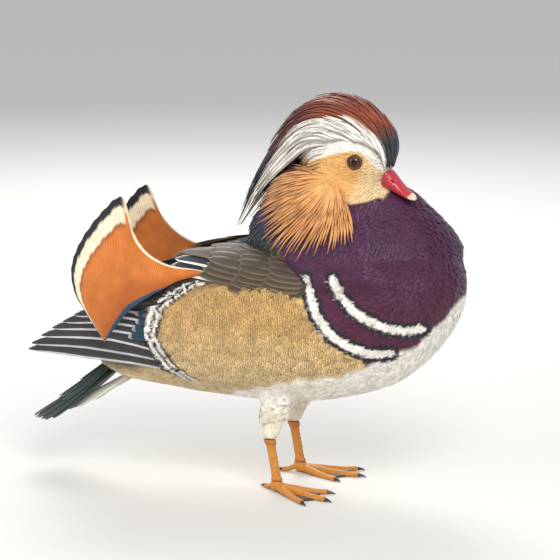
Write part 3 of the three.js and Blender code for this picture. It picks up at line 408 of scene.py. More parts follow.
# The trunk and the shells of its flanks, filled to one mass: a ball whose points are drawn in from
# outside until they meet the torso.
def trunkCore():
    core = {"front": 118, "rear": -156, "inset": 1.0, "around": 72, "along": 64, "outside": 200}
    torso = nodes["torso"].data
    torsoPlaces, _ = vertexArrays(torso)
    shell = BVHTree.FromPolygons([Vector(p) for p in torsoPlaces], [tuple(f.vertices) for f in torso.polygons])
    ball = bmesh.new()
    bmesh.ops.create_uvsphere(ball, u_segments=core["around"], v_segments=core["along"], radius=1)
    for vertex in ball.verts:
        share = 0.5 - math.asin(max(-1, min(1, vertex.co.z))) / math.pi
        x = core["rear"] + (core["front"] - core["rear"]) * share
        middle = Vector((x, 0, float(wingLie["back"](x) + wingLie["belly"](x)) / 2))
        around = Vector((0, vertex.co.x, vertex.co.y))
        radius = 0.0
        if around.length > 1e-4:
            around.normalize()
            hit = shell.ray_cast(middle + around * core["outside"], -around)[0]
            radius = (hit - middle).length - core["inset"] if hit else 0.0
        vertex.co = (middle + around * radius + Vector(shift)) / 1000
    mesh = bpy.data.meshes.new("trunk core")
    ball.to_mesh(mesh)
    ball.free()
    return mesh


fleshNodes = ["torso", "neck", "head", "thigh_right", "thigh_left"]
skin = copyOf(fleshNodes, "skin", 1.9, 14, [trunkCore()])
places, normals = vertexArrays(skin.data)
setPlaces(skin.data, places - normals * coatDepth(places)[:, None])

bpy.context.view_layer.objects.active = skin
skin.select_set(True)
bpy.ops.object.mode_set(mode="EDIT")
bpy.ops.mesh.select_all(action="SELECT")
bpy.ops.uv.smart_project(angle_limit=math.radians(66), island_margin=0.002)
bpy.ops.object.mode_set(mode="OBJECT")
skin.data.uv_layers[0].name = "OFBake"

skin.data.calc_loop_triangles()
triangleCount = len(skin.data.loop_triangles)
corners = np.empty(triangleCount * 3, np.int32)
loops = np.empty(triangleCount * 3, np.int32)
skin.data.loop_triangles.foreach_get("vertices", corners)
skin.data.loop_triangles.foreach_get("loops", loops)
corners, loops = corners.reshape(-1, 3), loops.reshape(-1, 3)
skinUv = np.empty(len(skin.data.loops) * 2, np.float32)
skin.data.uv_layers["OFBake"].data.foreach_get("uv", skinUv)
skinUv = skinUv.reshape(-1, 2)
skinPlaces, skinNormals = vertexArrays(skin.data)
triangles = skinPlaces[corners]
areas = np.linalg.norm(np.cross(triangles[:, 1] - triangles[:, 0], triangles[:, 2] - triangles[:, 0]), axis=1) / 2
skinTree = BVHTree.FromPolygons([Vector(p) for p in skinPlaces], corners.tolist())
print("skin made,", triangleCount, "triangles")


# Normals and unwrap of places on the skin, from the corners of their triangles
def weighed(faces, weights):
    outward = unit((skinNormals[corners[faces]] * weights[..., None]).sum(axis=1))
    return outward, (skinUv[loops[faces]] * weights[..., None]).sum(axis=1)


# The nearest places on the skin, their normals and their places on its unwrap
def onSkin(points):
    flat = points.reshape(-1, 3)
    spots = np.empty_like(flat)
    faces = np.empty(len(flat), int)
    for i, point in enumerate(flat):
        spots[i], _, faces[i], _ = skinTree.find_nearest(point)
    weights = 1 / (np.linalg.norm(skinPlaces[corners[faces]] - spots[:, None], axis=2) + 0.05)
    outward, uv = weighed(faces, weights / weights.sum(axis=1, keepdims=True))
    return spots.reshape(points.shape), outward.reshape(points.shape), uv.reshape(*points.shape[:-1], 2)


# Markings: one function colours the skin and the small feathers alike

tones = palette(
    forehead="#22302a", copper="#8a421d", white="#e8e3d7", cheek="#dca762", lores="#e4c998", maroon="#4c1630",
    violet="#3d1840", black="#15141a", flank="#c7a063", flankPale="#dcc08c", back="#57452f", rump="#3f3a2a",
    nape="#5d2c16", rust="#b4571c", thigh="#e6dcc4",
)
# The two bars beside the breast, in x and z, and the half widths of their black and white
breastBars = {
    "lines": [
        np.array([[31, 181], [33, 167], [39, 152], [50, 138], [65, 128], [81, 123], [95, 124]]),
        np.array([[53, 182], [58, 169], [69, 157], [87, 147], [106, 142], [118, 143]]),
    ],
    "black": 6.8, "white": 3.2, "top": 188, "aside": 14,
}
# Where the white of the belly begins, and the front of the flank, as heights and places along x
bellyLine = np.array([
    [-200, 66], [-110, 68], [-60, 74], [-20, 88], [11, 98], [57, 105], [92, 119], [115, 131], [131, 149], [150, 172],
])


def bellyTop(x):
    return np.interp(x, bellyLine[:, 0], bellyLine[:, 1])


def flankFront(z):
    return np.interp(z, [100, 118, 128, 138, 152, 160, 168, 176, 215], [80, 74, 62, 50, 39, 34, 24, 14, -2])


def flankRear(z):
    share = np.clip((z - 80) / 91, 0, 1)
    return np.interp(share, [0, 0.25, 0.5, 0.75, 1], [-60, -94, -110, -104, -72])


def distanceToLine(points, line):
    best = np.full(len(points), np.inf)
    for a, b in zip(line[:-1], line[1:]):
        ab = b - a
        t = np.clip(((points - a) @ ab) / (ab @ ab), 0, 1)
        best = np.minimum(best, np.linalg.norm(points - (a + t[:, None] * ab), axis=1))
    return best


# How far a place belongs to the head rather than the neck
def headShare(places):
    x, _, z = inHead(places).T
    throat = np.interp(x, [-46, -20, 0, 18, 28, 34], [-20, -25, -27, -25, -20, -15])
    return smooth(z - throat, -1.2, 1.2) * smooth(37.5 - x, -1, 1) * smooth(x + 43, -3, 3)


# How far a place belongs to a feathered thigh: below a height, within some millimetres of its middle
def thighShare(y, z, top, wide):
    return smooth(top - z, 0, 8) * smooth(wide[0] - np.abs(np.abs(y) - 33), *wide[1:])


# Colour, with the amount of fine lines in the fourth channel
def markings(places):
    x, y, z = places.T
    lx, _, lz = inHead(places).T
    fineLines = np.zeros(len(places))
    colour = mix(np.broadcast_to(tones["maroon"], places.shape), tones["violet"], 0.5 * smooth(z, 150, 205))
    # The flank is behind the rear bar, and the back above it.
    behind = smooth(flankFront(z) - x, -1, 2)
    colour = mix(colour, mix(tones["flank"], tones["flankPale"], smooth(z, 150, 90)), behind)
    onFlank = behind * smooth(x, -118, -108) * (1 - smooth(z, 168, 176))
    fineLines = np.maximum(fineLines, onFlank * 0.62)
    backFrom = np.interp(x, [-200, -150, -110, -70, -40, 20], [96, 118, 140, 158, 168, 171])
    toBack = smooth(z - backFrom, 0, 9) * smooth(12 - x, 0, 10)
    colour = mix(colour, tones["back"], toBack)
    fineLines *= 1 - toBack
    colour = mix(colour, tones["rump"], smooth(-x, 108, 124) * smooth(z, 84, 100))
    # Black and white bars along the rear edge of the flank.
    edge = x - flankRear(z)
    aside = np.abs(y) > 0.8 * wingLie["width"](x)
    nearRear = (edge < 15) & (x < -40) & (z > 84) & (z < 172) & (x > -116) & aside
    bars = ((edge > 1) & (edge < 5.2) | (edge > 8.6) & (edge < 12)).astype(float)
    colour = np.where(nearRear[:, None], mix(tones["black"], tones["white"], bars), colour)
    fineLines[nearRear] = 0
    # White belly and vent.
    white = smooth(bellyTop(x) - z + 1.5 * np.sin(x / 3.1), -1.5, 2.5)
    colour = mix(colour, tones["white"], white)
    fineLines *= 1 - white
    # Two white bars edged with black beside the breast.
    barred = (z < breastBars["top"]) & (np.abs(y) > breastBars["aside"])
    for line in breastBars["lines"]:
        reach = distanceToLine(places[:, [0, 2]], line)
        for tone in ("black", "white"):
            colour = np.where(((reach < breastBars[tone]) & barred)[:, None], tones[tone], colour)
        fineLines[reach < breastBars["black"]] = 0
    # Neck: chestnut to purple on the nape.
    onNape = smooth(z, 198, 208) * smooth(34 - x, 0, 26)
    colour = mix(colour, mix(tones["violet"], tones["nape"], smooth(z, 215, 250)), onNape)
    fineLines[z > 200] = 0
    # Head: buff cheeks, white over and behind the eye, dark forehead and crown.
    face = mix(tones["cheek"], tones["lores"], smooth(lx, 8, 26))
    face = mix(face, tones["rust"], 0.75 * smooth(-lz, 10, 24) * smooth(16 - lx, 0, 14))
    whiteFrom = np.interp(lx, [-60, -30, -10, 4, 12, 22, 34], [-22, -8, 7, 14.5, 15.5, 9, 1])
    face = mix(face, tones["white"], smooth(lz - whiteFrom, -1.5, 1.5))
    crownFrom = np.interp(lx, [-40, -20, 0, 12, 22, 30, 36], [30, 31, 31, 27, 19, 10.5, 6])
    crown = mix(tones["copper"], tones["forehead"], smooth(lx, -6, 14))
    face = mix(face, crown, smooth(lz - crownFrom, -1.2, 1.2))
    colour = mix(colour, face, headShare(places))
    colour = mix(colour, tones["thigh"], thighShare(y, z, 74, (12, -8, 0)))
    return np.hstack([colour, fineLines[:, None]])


# The skin shows only in the gaps between the feathers, so it takes their colours darkened to three quarters: painted
# shade under the coat.
paint(skin.data, markings(skinPlaces)[:, :3] * 0.75)
finishPiece(skin, "skin", "flank", *fleshNodes)


# The lie of the small feathers: back from the bill, down the neck, and back along the body
def lie(places, normals):
    x, y, z = places.T
    level = 0 * x
    headWay = unit(inHead(places) - np.array([36, 0, 2.0])) @ head["axes"].T
    headWay[:, 2] -= 0.25
    neckWay = np.stack([level - 0.35, 0.25 * np.clip(y / 30, -1, 1), level - 1], axis=1)
    front = smooth(x, 84, 138)
    bodyWay = np.stack([-1 + 0.25 * front, 0.3 * front * np.clip(y / 40, -1, 1), -0.2 - 1.1 * front], axis=1)
    way = mix(bodyWay, neckWay, smooth(z, 186, 212))
    way = mix(way, headWay, headShare(places))
    way = mix(way, np.array([-0.25, 0, -1]), thighShare(y, z, 78, (14, -6, 2)))
    way = way - normals * (way * normals).sum(axis=1, keepdims=True)
    return unit(way + 0.035 * rng.normal(size=way.shape))


# Evenly scattered places on the skin, one to a cell of the spacing, with normals and unwrap
def scatter(spacing, where):
    weights = areas * where(triangles.mean(axis=1))
    total = int(weights.sum() / spacing ** 2 * 4)
    picked = rng.choice(len(areas), total, p=weights / weights.sum())
    u, v = rng.random(total), rng.random(total)
    flip = u + v > 1
    u[flip], v[flip] = 1 - u[flip], 1 - v[flip]
    share = np.stack([1 - u - v, u, v], axis=1)
    spots = (triangles[picked] * share[..., None]).sum(axis=1)
    outward, uv = weighed(picked, share)
    _, keep = np.unique(np.floor(spots / spacing).astype(int), axis=0, return_index=True)
    keep.sort()
    return spots[keep], outward[keep], uv[keep]


# Small body feathers: spacing, length, width, lift at root and tip, material and slot
coatSettings = {
    "head_coat": (1.38, 6.4, 2.1, (-0.5, 1.1), "head", "face"),
    "neck_coat": (2.2, 13, 4.2, (-0.6, 2.2), "breast", "breast"),
    "breast_coat": (2.5, 14, 5.2, (-0.6, 2.3), "breast", "breast"),
    "flank_right_coat": (2.9, 21, 8.0, (-0.6, 2.7), "body", "flank"),
    "flank_left_coat": (2.9, 21, 8.0, (-0.6, 2.7), "body", "flank"),
    "back_coat": (3.0, 17, 7.6, (-0.6, 2.6), "body", "wing"),
    "belly_coat": (2.7, 15, 5.8, (-0.6, 2.4), "body", "belly"),
    "thigh_coat": (1.6, 8, 3.0, (-0.4, 0.9), "body", "belly"),
}
# Stations along a feather, its half width and thickness there, and its painted shade: darker at the root, where it
# lies under other feathers, and lighter at the tip
coatShape = {
    "stations": np.array([0, 0.45, 0.86, 1.0]), "half": np.array([0.5, 1.0, 0.9, 0.42]) / 2,
    "thick": np.array([0.5, 0.45, 0.35, 0.2]), "shade": np.array([0.8, 0.94, 1.03, 1.08]),
}


# The number of the coat that a place on the skin belongs to
def coatAt(places):
    x, y, z = places.T
    which = np.full(len(places), 3)
    which[y > 0] = 4
    which[(z > 172) & (x < 30)] = 5
    which[z < bellyTop(x) - 3] = 6
    which[(x > flankFront(z) + 7) & (z > 104)] = 2
    which[(z > 190 + 4 * np.sin(y / 3.7) + 3 * np.sin(y / 1.9 + 1)) & (x > -20)] = 1
    which[headShare(places) > 0.5] = 0
    which[(z < 72) & (np.hypot(x + 4, np.abs(y) - 33) < 24)] = 7
    return which


eyes = {name: boxMiddle(f"eye_{name}") - shift for name in sides}
coatCount = 0
for index, (name, settings) in enumerate(coatSettings.items()):
    spacing, length, width, (low, high), material, slot = settings
    spots, outward, uv = scatter(spacing, lambda places: coatAt(places) == index)
    toEye = np.min([np.linalg.norm(spots - eye, axis=1) for eye in eyes.values()], axis=0)
    local = inHead(spots)
    onBill = (local[:, 0] > 31.5) & (np.abs(local[:, 1]) < 8) & (np.abs(local[:, 2] + 1) < 8)
    clear = (toEye > 6.6) & ~onBill
    spots, outward, uv, toEye, local = (values[clear] for values in (spots, outward, uv, toEye, local))
    count = len(spots)
    way = lie(spots, outward)
    size = rng.uniform(0.82, 1.18, count)
    if name == "head_coat":
        # Smaller feathers toward the bill and round the eyes
        size *= 1 - 0.45 * smooth(local[:, 0], 6, 30)
        size *= 1 - 0.35 * (1 - smooth(toEye, 7, 16))
    reach = (length * size)[:, None] * coatShape["stations"]
    follow, normals, _ = onSkin(spots[:, None] + way[:, None] * reach[..., None])
    lifts = low + (high - low) * coatShape["stations"] ** 0.8 * rng.uniform(0.88, 1.1, (count, 1))
    half = width * size[:, None] * coatShape["half"]
    across = unit(np.cross(np.gradient(follow, axis=1), normals)) * half[..., None]
    corner = np.stack([follow - across, follow, follow + across, follow], axis=2)
    marks = markings(corner.reshape(-1, 3)).reshape(count, 4, 4, 4)
    # Each feather varies in tone at random, times the painted shade from its root to its tip.
    shade = rng.uniform(0.88, 1.1, (count, 1, 1, 1)) * coatShape["shade"][:, None, None]
    colours = np.concatenate([marks[..., :3] * shade, marks[..., 3:]], axis=-1)
    vanes(
        name, follow + normals * lifts[..., None], normals, half, coatShape["thick"], colours, (material, slot), uv,
        sleek=0.6 if name == "head_coat" else 0.38,
    )
    coatCount += count
    print(name, count, "feathers")


def spline(points, count):
    points = np.array(points, float)
    place = np.linspace(0, len(points) - 1, count)
    padded = np.vstack([2 * points[0] - points[1], points, 2 * points[-1] - points[-2]])
    i = np.minimum(place.astype(int), len(points) - 2)
    t = (place - i)[:, None]
    p0, p1, p2, p3 = (padded[i + k] for k in range(4))
    return 0.5 * (
        2 * p1 + (p2 - p0) * t + (2 * p0 - 5 * p1 + 4 * p2 - p3) * t ** 2 + (3 * p1 - p0 - 3 * p2 + p3) * t ** 3
    )


# Wings

def lieMiddle(x):
    back, belly = wingLie["back"](x), wingLie["belly"](x)
    return (back + belly) / 2, (back - belly) / 2


def lieSpot(side, x, turn):
    middle, high = lieMiddle(x)
    over, up = (np.sign(v) * np.abs(v) ** (2 / wingLie["power"]) for v in (np.cos(turn), np.sin(turn)))
    return np.stack([x, side * wingLie["width"](x) * over, middle + high * up], axis=-1)


def wingSpot(side, x, turn, lift):
    alongX = lieSpot(side, x + 1, turn) - lieSpot(side, x - 1, turn)
    alongTurn = lieSpot(side, x, turn + 0.01) - lieSpot(side, x, turn - 0.01)
    up = unit(np.cross(alongX, alongTurn))
    up *= np.where(up[..., 1:2] * side < 0, -1, 1)
    return lieSpot(side, x, turn) + up * lift[..., None], up


def turnAt(x, z):
    middle, high = lieMiddle(x)
    share = np.clip((z - middle) / high, -0.97, 0.97)
    return np.arcsin(np.sign(share) * np.abs(share) ** (wingLie["power"] / 2))


def roundTip(t):
    return np.maximum(0.12, np.sqrt(np.maximum(1 - t ** 5, 0))) * (0.72 + 0.28 * smooth(t, 0, 0.3))


featherTones = palette(
    primary="#3b3732", primaryEdge="#c9ccd0", speculum="#173f52", tip="#e9e6dc", tertial="#4a463a",
    tertialBlue="#27485e", covert="#5a4c3a", scapular="#4f4232", scapularDark="#1b1c26", fringe="#6b5c45",
    white="#efece2", tail="#3d372b", tailGreen="#2c4038", sail="#cf7429", sailDeep="#a9501a", cream="#f4e3c0",
    black="#17161b",
)
primaryTips = [(-219, 101), (-216, 106), (-207, 113), (-197, 120), (-187, 126), (-177, 132), (-167, 138), (-157, 143)]
# Tone, number, tips and roots as x and the lowest and highest z, width, lift at root and tip, and bow
wingTiers = {
    "primaries": ("primary", 8, primaryTips, (-74, 98, 144), 11.5, (2.1, 1.8), 3),
    "secondaries": ("speculum", 6, (-122, 122, 152), (-52, 126, 160), 12, (2.8, 4.8), 1),
    "tertials": ("tertial", 4, (-148, 136, 153), (-44, 162, 177), 15, (3.2, 6.6), 4),
    "greaterCoverts": ("covert", 4, (-86, 159, 172), (-34, 164, 176), 12, (1, 3.4), 0),
    "medianCoverts": ("covert", 6, (-50, 164, 182), (-8, 166, 182), 10, (1.5, 5.4), 0),
    "scapulars": ("scapular", 6, (-92, 172, 190), (-14, 173, 192), 14, (2.4, 7.4), -2),
    "innerScapulars": ("scapular", 7, (-60, 174, 194), (0, 175, 195), 12, (2, 7.6), -2),
    "shoulder": ("scapular", 9, (-34, 168, 196), (8, 170, 197), 10, (1, 7.2), -1),
    "mantle": ("scapular", 9, (-8, 168, 197), (30, 170, 198), 10, (-2.5, 6.2), -1),
}


# Colours over one vane: share is its place in its tier from the lowest, across runs from its low edge
def tierColours(name, tone, share, stations, across):
    full = (stations, len(across), 1)
    t = np.broadcast_to(np.linspace(0, 1, stations)[:, None, None], full)
    a = np.broadcast_to(across[None, :, None], full)
    colour = featherTones[tone] * np.ones(full)
    lowEdge, anyEdge, shaft = a < -0.7, np.abs(a) > 0.7, np.abs(a) < 0.1
    # Coverts and scapulars have a pale fringe at their edges and tip. Toward the root they are painted darker, as
    # painted shade where they lie under other feathers, and toward the tip lighter, as painted light.
    if tone in ("covert", "scapular"):
        colour = np.where(anyEdge | (t > 0.96), featherTones["fringe"], colour * (0.8 + 0.3 * t))
    if name == "primaries":
        colour = np.where(lowEdge, featherTones["primaryEdge"], colour)
        colour = np.where((t > 0.93) & ~anyEdge, featherTones["speculum"] * 0.8, colour)
    if name == "secondaries":
        colour = np.where(t > 0.88, featherTones["tip"], colour)
    if name == "tertials":
        colour = np.where(a > 0.3, featherTones["tertialBlue"], colour)
        colour = np.where(lowEdge, featherTones["black"], colour)
    if name == "scapulars" and share < 0.45:
        colour = np.where(anyEdge | (t > 0.94), featherTones["white"], featherTones["scapularDark"])
    return np.where(shaft, colour * 0.72, colour) * rng.uniform(0.86, 1.14)


def wingTier(name, side):
    tone, count, tips, (rootX, rootLow, rootHigh), width, (lowLift, highLift), bow = wingTiers[name]
    stations = 9
    t = np.linspace(0, 1, stations)
    t = 0.35 * t + 0.65 * np.sin(t * math.pi / 2)
    feathers = []
    for i in range(count):
        share = i / (count - 1)
        root = (rootX, rootLow + (rootHigh - rootLow) * share)
        if name == "primaries":
            tip = tips[i]
        else:
            tipX, tipLow, tipHigh = tips
            tip = (tipX + 6 * math.sin(math.pi * share) + rng.normal(0, 0.8), tipLow + (tipHigh - tipLow) * share)
        rootTurn, tipTurn = turnAt(*root), turnAt(*tip)
        x = root[0] + (tip[0] - root[0]) * t
        radius = (wingLie["width"](x) + lieMiddle(x)[1]) / 2
        turn = rootTurn + (tipTurn - rootTurn) * t + bow / radius * 4 * t * (1 - t)
        # Toward the back line the feathers lie closer.
        highest = highLift * (1 - 0.5 * smooth(tip[1], 182, 196))
        at, up = wingSpot(side, x, turn, lowLift + (highest - lowLift) * t)
        cross = unit(np.cross(np.gradient(at, axis=0), up))
        roll = -0.13 * smooth(t, 0, 0.4)[:, None] * side
        # The first edge of the ring is the lower one on both sides.
        colours = tierColours(name, tone, share, stations, wideRing[0] * (-side))
        feathers.append((at, unit(up + cross * roll), width / 2 * roundTip(t), colours))
    return feathers


for sideName, side in sides.items():
    feathers = [feather for name in wingTiers for feather in wingTier(name, side)]
    paths, ups, halves, colours = map(np.array, zip(*feathers))
    finish = ("wing", "wing", f"wing_{sideName}")
    vanes(
        f"wing_feathers_{sideName}", paths, ups, halves, np.linspace(0.8, 0.4, paths.shape[1]), colours, finish,
        ring=wideRing,
    )
print("wings made")


# Sails: shaft and margin as x and z, the height and width between the tops and between the feet

sail = {
    "shaft": [
        [-52, 176], [-64, 175.5], [-80, 171], [-94, 163], [-107, 155], [-118, 147],
        [-123, 142], [-127, 137], [-131, 132], [-134, 128], [-138, 123], [-141, 118],
    ],
    "margin": [
        [-52, 179], [-66, 181], [-88, 183], [-108, 192], [-122, 208], [-133, 234],
        [-150, 221], [-165, 199], [-171, 178], [-167, 158], [-157, 141], [-141, 118],
    ],
    "top": (236, 31), "foot": (152, 52), "thickness": 0.8, "rows": 100, "columns": 64,
}


def sailY(z):
    (topZ, topY), (footZ, footY) = sail["top"], sail["foot"]
    return footY + (topY - footY) * smooth(z, footZ, topZ)


rows, columns = sail["rows"], sail["columns"]
t, j = np.meshgrid(np.linspace(0, 1, rows), np.linspace(0, 1, columns), indexing="ij")
inner, outer = spline(sail["shaft"], rows), spline(sail["margin"], rows)
ragged = 1 - 0.012 * (0.5 + 0.5 * np.sin(t * 160)) * smooth(t, 0.1, 0.3) * (j > 0.99)
x, z = np.moveaxis(inner[:, None] + (outer - inner)[:, None] * (j * ragged)[..., None], -1, 0)
cup = 3 * np.sin(math.pi * t) * np.sin(math.pi * j)
ripple = 0.35 * np.sin(46 * t + 5 * j + 2 * np.sin(9 * t)) * np.sin(math.pi * j) * np.sin(math.pi * t)
steep = (sailY(z + 1) - sailY(z - 1)) / 2
# Orange, with a dark line, cream and black toward the rear margin
frayed = j + 0.008 * np.sin(t * 210) + 0.006 * np.sin(t * 97 + 1)
rear = smooth(t, 0.43, 0.46)
colour = mix(featherTones["sail"], featherTones["sailDeep"], 0.7 * smooth(0.45 - j, 0, 0.45))
colour = mix(colour, featherTones["sailDeep"] * 0.6, 0.8 * smooth(frayed, 0.7, 0.765) * rear)
colour = mix(colour, featherTones["cream"], smooth(frayed, 0.76, 0.78) * rear)
colour = mix(colour, featherTones["black"], smooth(frayed, 0.905, 0.92) * rear)
colour = mix(colour, featherTones["cream"], smooth(j, 0.88, 0.9) * (1 - rear))
colour = mix(colour, featherTones["tertialBlue"], smooth(0.06 - j, 0, 0.015) * smooth(t, 0.2, 0.3))
# Front and back sheets with a rim between them
grid = np.arange(rows * columns).reshape(rows, columns)
sheet = np.stack([grid[:-1, :-1], grid[1:, :-1], grid[1:, 1:], grid[:-1, 1:]], axis=-1).reshape(-1, 4)
rim = np.concatenate([grid[0, :-1], grid[:-1, -1], grid[-1, :0:-1], grid[:0:-1, 0]])
onward = np.roll(rim, -1)
edge = np.stack([rim, onward, onward + grid.size, rim + grid.size], axis=-1)
quads = np.concatenate([sheet, sheet[:, ::-1] + grid.size, edge])
for sideName, side in sides.items():
    up = unit(np.stack([0 * z, side + 0 * z, -steep], axis=-1))
    middle = np.stack([x, side * (sailY(z) + cup + ripple), z], axis=-1)
    thin = up * (sail["thickness"] * (1 - 0.45 * j) / 2)[..., None]
    verts = np.concatenate([(middle + thin).reshape(-1, 3), (middle - thin).reshape(-1, 3)])
    uv = onSkin(verts[:1])[2] + np.stack([np.tile(j.ravel(), 2), np.tile(t.ravel(), 2)], axis=-1) * 0.02
    piece = meshFrom(
        f"sail_feather_{sideName}", verts, quads[:, ::side], np.tile(colour.reshape(-1, 3), (2, 1)),
        np.tile((t * 190 + j * 14).ravel(), 2), uv,
    )
    finishPiece(piece, "sail", "sail", f"sail_{sideName}")
print("sails made")


# Tail

tail = {"root": np.array([-128, 0, 103.0]), "slope": math.radians(-33), "droop": 0.012}
# Tone, number, half spread in degrees, length, share of it at the sides, width, lift at root and tip,
# start and step of the sides
tailTiers = [
    ("tail", 14, 15, 112, 0.84, 18, (0, 0), 6, 0.5),
    ("tailGreen", 12, 16, 84, 0.85, 15, (6.5, 2.2), -2, 0.5),
    ("tailGreen", 12, 18, 60, 0.85, 14, (8.5, 4.6), -4, 0.5),
    ("white", 12, 15, 86, 0.8, 15, (-13, -7.6), -2, 0.4),
    ("white", 12, 17, 66, 0.8, 14, (-15, -10.8), -4, 0.4),
]


def tailSpot(along, across, lift):
    cos, sin = math.cos(tail["slope"]), math.sin(tail["slope"])
    height = lift - tail["droop"] * across ** 2
    up = np.array([sin, 0, cos])
    at = tail["root"] + along[..., None] * np.array([-cos, 0, sin]) + height[..., None] * up
    at[..., 1] += across
    return at, unit(up + (2 * tail["droop"] * across)[..., None] * np.array([0, 1, 0]))


feathers = []
t = np.sin(np.linspace(0, 1, 9) * math.pi / 2)
for tone, count, spread, longest, shorter, width, (lowLift, highLift), start, step in tailTiers:
    for i in range(count):
        share = 2 * i / (count - 1) - 1
        heading = math.radians(share * spread)
        length = longest * (1 - (1 - shorter) * share ** 2) + rng.normal(0, 0.7)
        along = start + (length - start) * t
        lift = lowLift + (highLift - lowLift) * t - step * abs(share) * 7 * (0.5 + 0.5 * t) + 0.3 * (i % 2)
        at, up = tailSpot(along * math.cos(heading), along * math.sin(heading), lift)
        colours = np.broadcast_to(featherTones[tone], (len(t), 16, 3)).copy()
        if tone == "tail":
            colours[:, [0, 1, 6, 7]] = featherTones["tailGreen"]
        feathers.append((at, up, width / 2 * roundTip(t), colours * rng.uniform(0.9, 1.1)))
paths, ups, halves, colours = map(np.array, zip(*feathers))
vanes(
    "tail_feathers", paths, ups, halves, np.linspace(0.9, 0.4, len(t)), colours, ("tail", "tail", "tail"),
    ring=wideRing,
)
print("tail made")


# Crest

crest = {
    "line": [[34, 8], [31, 26], [17, 42], [-8, 51], [-36, 46], [-61, 24], [-76, -12], [-85, -49], [-90, -86]],
    "width": profile([[0, 8], [0.14, 16], [0.28, 22], [0.45, 26.5], [0.65, 24], [0.85, 15], [1, 4]]),
    "depth": profile([[0, 4], [0.14, 13], [0.28, 27], [0.45, 38], [0.65, 36], [0.85, 22], [1, 8]]),
}
crestPoints = spline(crest["line"], 400)
crestPlaces = np.linspace(0, 1, len(crestPoints))
# Number, first and last start, reach, width, lift at root and tip, and spread to the sides
crestTiers = [
    (120, (0.0, 0.14), 0.16, 3.0, (-1.4, 0.8), 0.92),
    (130, (0.1, 0.3), 0.24, 4.0, (-2.2, 0.8), 0.98),
    (130, (0.26, 0.46), 0.32, 4.6, (-3.4, 0.0), 1.0),
    (110, (0.4, 0.6), 0.38, 4.6, (-5.5, -1.4), 1.0),
]
crestTones = palette(
    forehead="#1c2f28", copper="#93451b", deep="#5f2512", tip="#173830", violet="#3b2350", white="#e9e4d8",
    cream="#dccaa4",
)


def onCrestLine(along):
    along = np.clip(along, 0, 1)
    return np.stack([np.interp(along, crestPlaces, crestPoints[:, k]) for k in range(2)], axis=-1)


def crestSpot(along, across, lift):
    x, z = onCrestLine(along).T
    way = unit(onCrestLine(along + 0.01) - onCrestLine(along - 0.01))
    out = np.stack([way[..., 1], 0 * along, -way[..., 0]], axis=-1)
    bend = across * math.pi / 2
    up = unit(out * (np.cos(bend) + 0.15)[..., None] + np.sin(bend)[..., None] * np.array([0, 1, 0]))
    at = np.stack([x, crest["width"](along) * np.sin(bend), z], axis=-1)
    at = at - out * (crest["depth"](along) * (1 - np.cos(bend)))[..., None] + up * lift[..., None]
    return fromHead(at), up @ head["axes"].T


# Half widths of a tapered plume, as shares of the widest
def spindle(t, start=0.2, reach=0.82, power=1.2, least=0.1):
    return np.maximum(least, np.sin(math.pi * np.minimum(1, start + reach * t) ** power))


feathers = []
t = np.linspace(0, 1, 8)
for count, starts, reach, width, (lowLift, highLift), spread in crestTiers:
    for i in range(count):
        start = rng.uniform(*starts)
        end = min(1.0, start + reach * rng.uniform(0.85, 1.15))
        across = spread * (2 * (i + rng.random()) / count - 1)
        along = start + (end - start) * t
        lift = lowLift + (highLift - lowLift) * t + rng.normal(0, 0.35)
        at, up = crestSpot(along, across * (1 - 0.16 * t), lift)
        crown = mix(crestTones["forehead"], crestTones["copper"], smooth(along, 0.14, 0.26))
        crown = mix(crown, crestTones["deep"], smooth(along, 0.5, 0.68))
        crown = mix(crown, crestTones["tip"], smooth(along, 0.68, 0.86))
        pale = mix(crestTones["white"], crestTones["cream"], smooth(along, 0.75, 1.0))
        band = np.interp(start, [0, 0.12, 0.3, 0.6], [0.62, 0.6, 0.62, 0.6])
        tone = mix(crown, pale, smooth(abs(across), band, band + 0.06) * np.ones(len(t)))
        # Each plume is drawn lighter along its top ridge and darker at its edges and underneath, as painted light and
        # shade, and its tone varies at random.
        ridgeLightAndShade = np.array([0.85, 1.12, 0.85, 0.8])[:, None] * rng.uniform(0.85, 1.15)
        feathers.append((at, up, width / 2 * spindle(t, power=1.25), tone[:, None, :] * ridgeLightAndShade))
paths, ups, halves, colours = map(np.array, zip(*feathers))
vanes("crest_feathers", paths, ups, halves, np.linspace(1.0, 0.4, len(t)), colours, ("crest", "crest"))
print("crest made")


# Deletes all but the largest connected part
def keepLargest(shape):
    unseen, largest = set(shape.verts), []
    while unseen:
        island, waiting = [], [unseen.pop()]
        while waiting:
            vertex = waiting.pop()
            island.append(vertex)
            near = {edge.other_vert(vertex) for edge in vertex.link_edges} & unseen
            unseen -= near
            waiting.extend(near)
        largest = max(largest, island, key=len)
    bmesh.ops.delete(shape, geom=list(set(shape.verts) - set(largest)), context="VERTS")


# The crest's inside, so that no light comes through it, without its thin end
crestInside = copyOf(["crest"], "crest_inside", 1.4, 10)
cut = bmesh.new()
cut.from_mesh(crestInside.data)
thinEnd = [v for v in cut.verts if v.co.z * 1000 < 236 and v.co.x * 1000 - shift[0] < 6]
bmesh.ops.delete(cut, geom=thinEnd, context="VERTS")
keepLargest(cut)
cut.to_mesh(crestInside.data)
cut.free()
places, normals = vertexArrays(crestInside.data)
places = places - normals * 1.5
setPlaces(crestInside.data, places)
local = inHead(places)
nearest = np.argmin(np.linalg.norm(crestPoints[None] - local[:, None, [0, 2]], axis=2), axis=1)
along = crestPlaces[nearest]
aside = np.abs(local[:, 1]) / crest["width"](along)
# It takes the crest's own colours darkened to between a half and seven tenths: painted shade inside the crest.
colour = mix(crestTones["copper"] * 0.5, crestTones["tip"] * 0.7, smooth(along, 0.5, 0.85))
paint(crestInside.data, mix(colour, crestTones["cream"] * 0.6, smooth(aside, 0.86, 0.98)))
finishPiece(crestInside, "skin", "crest", "crest")


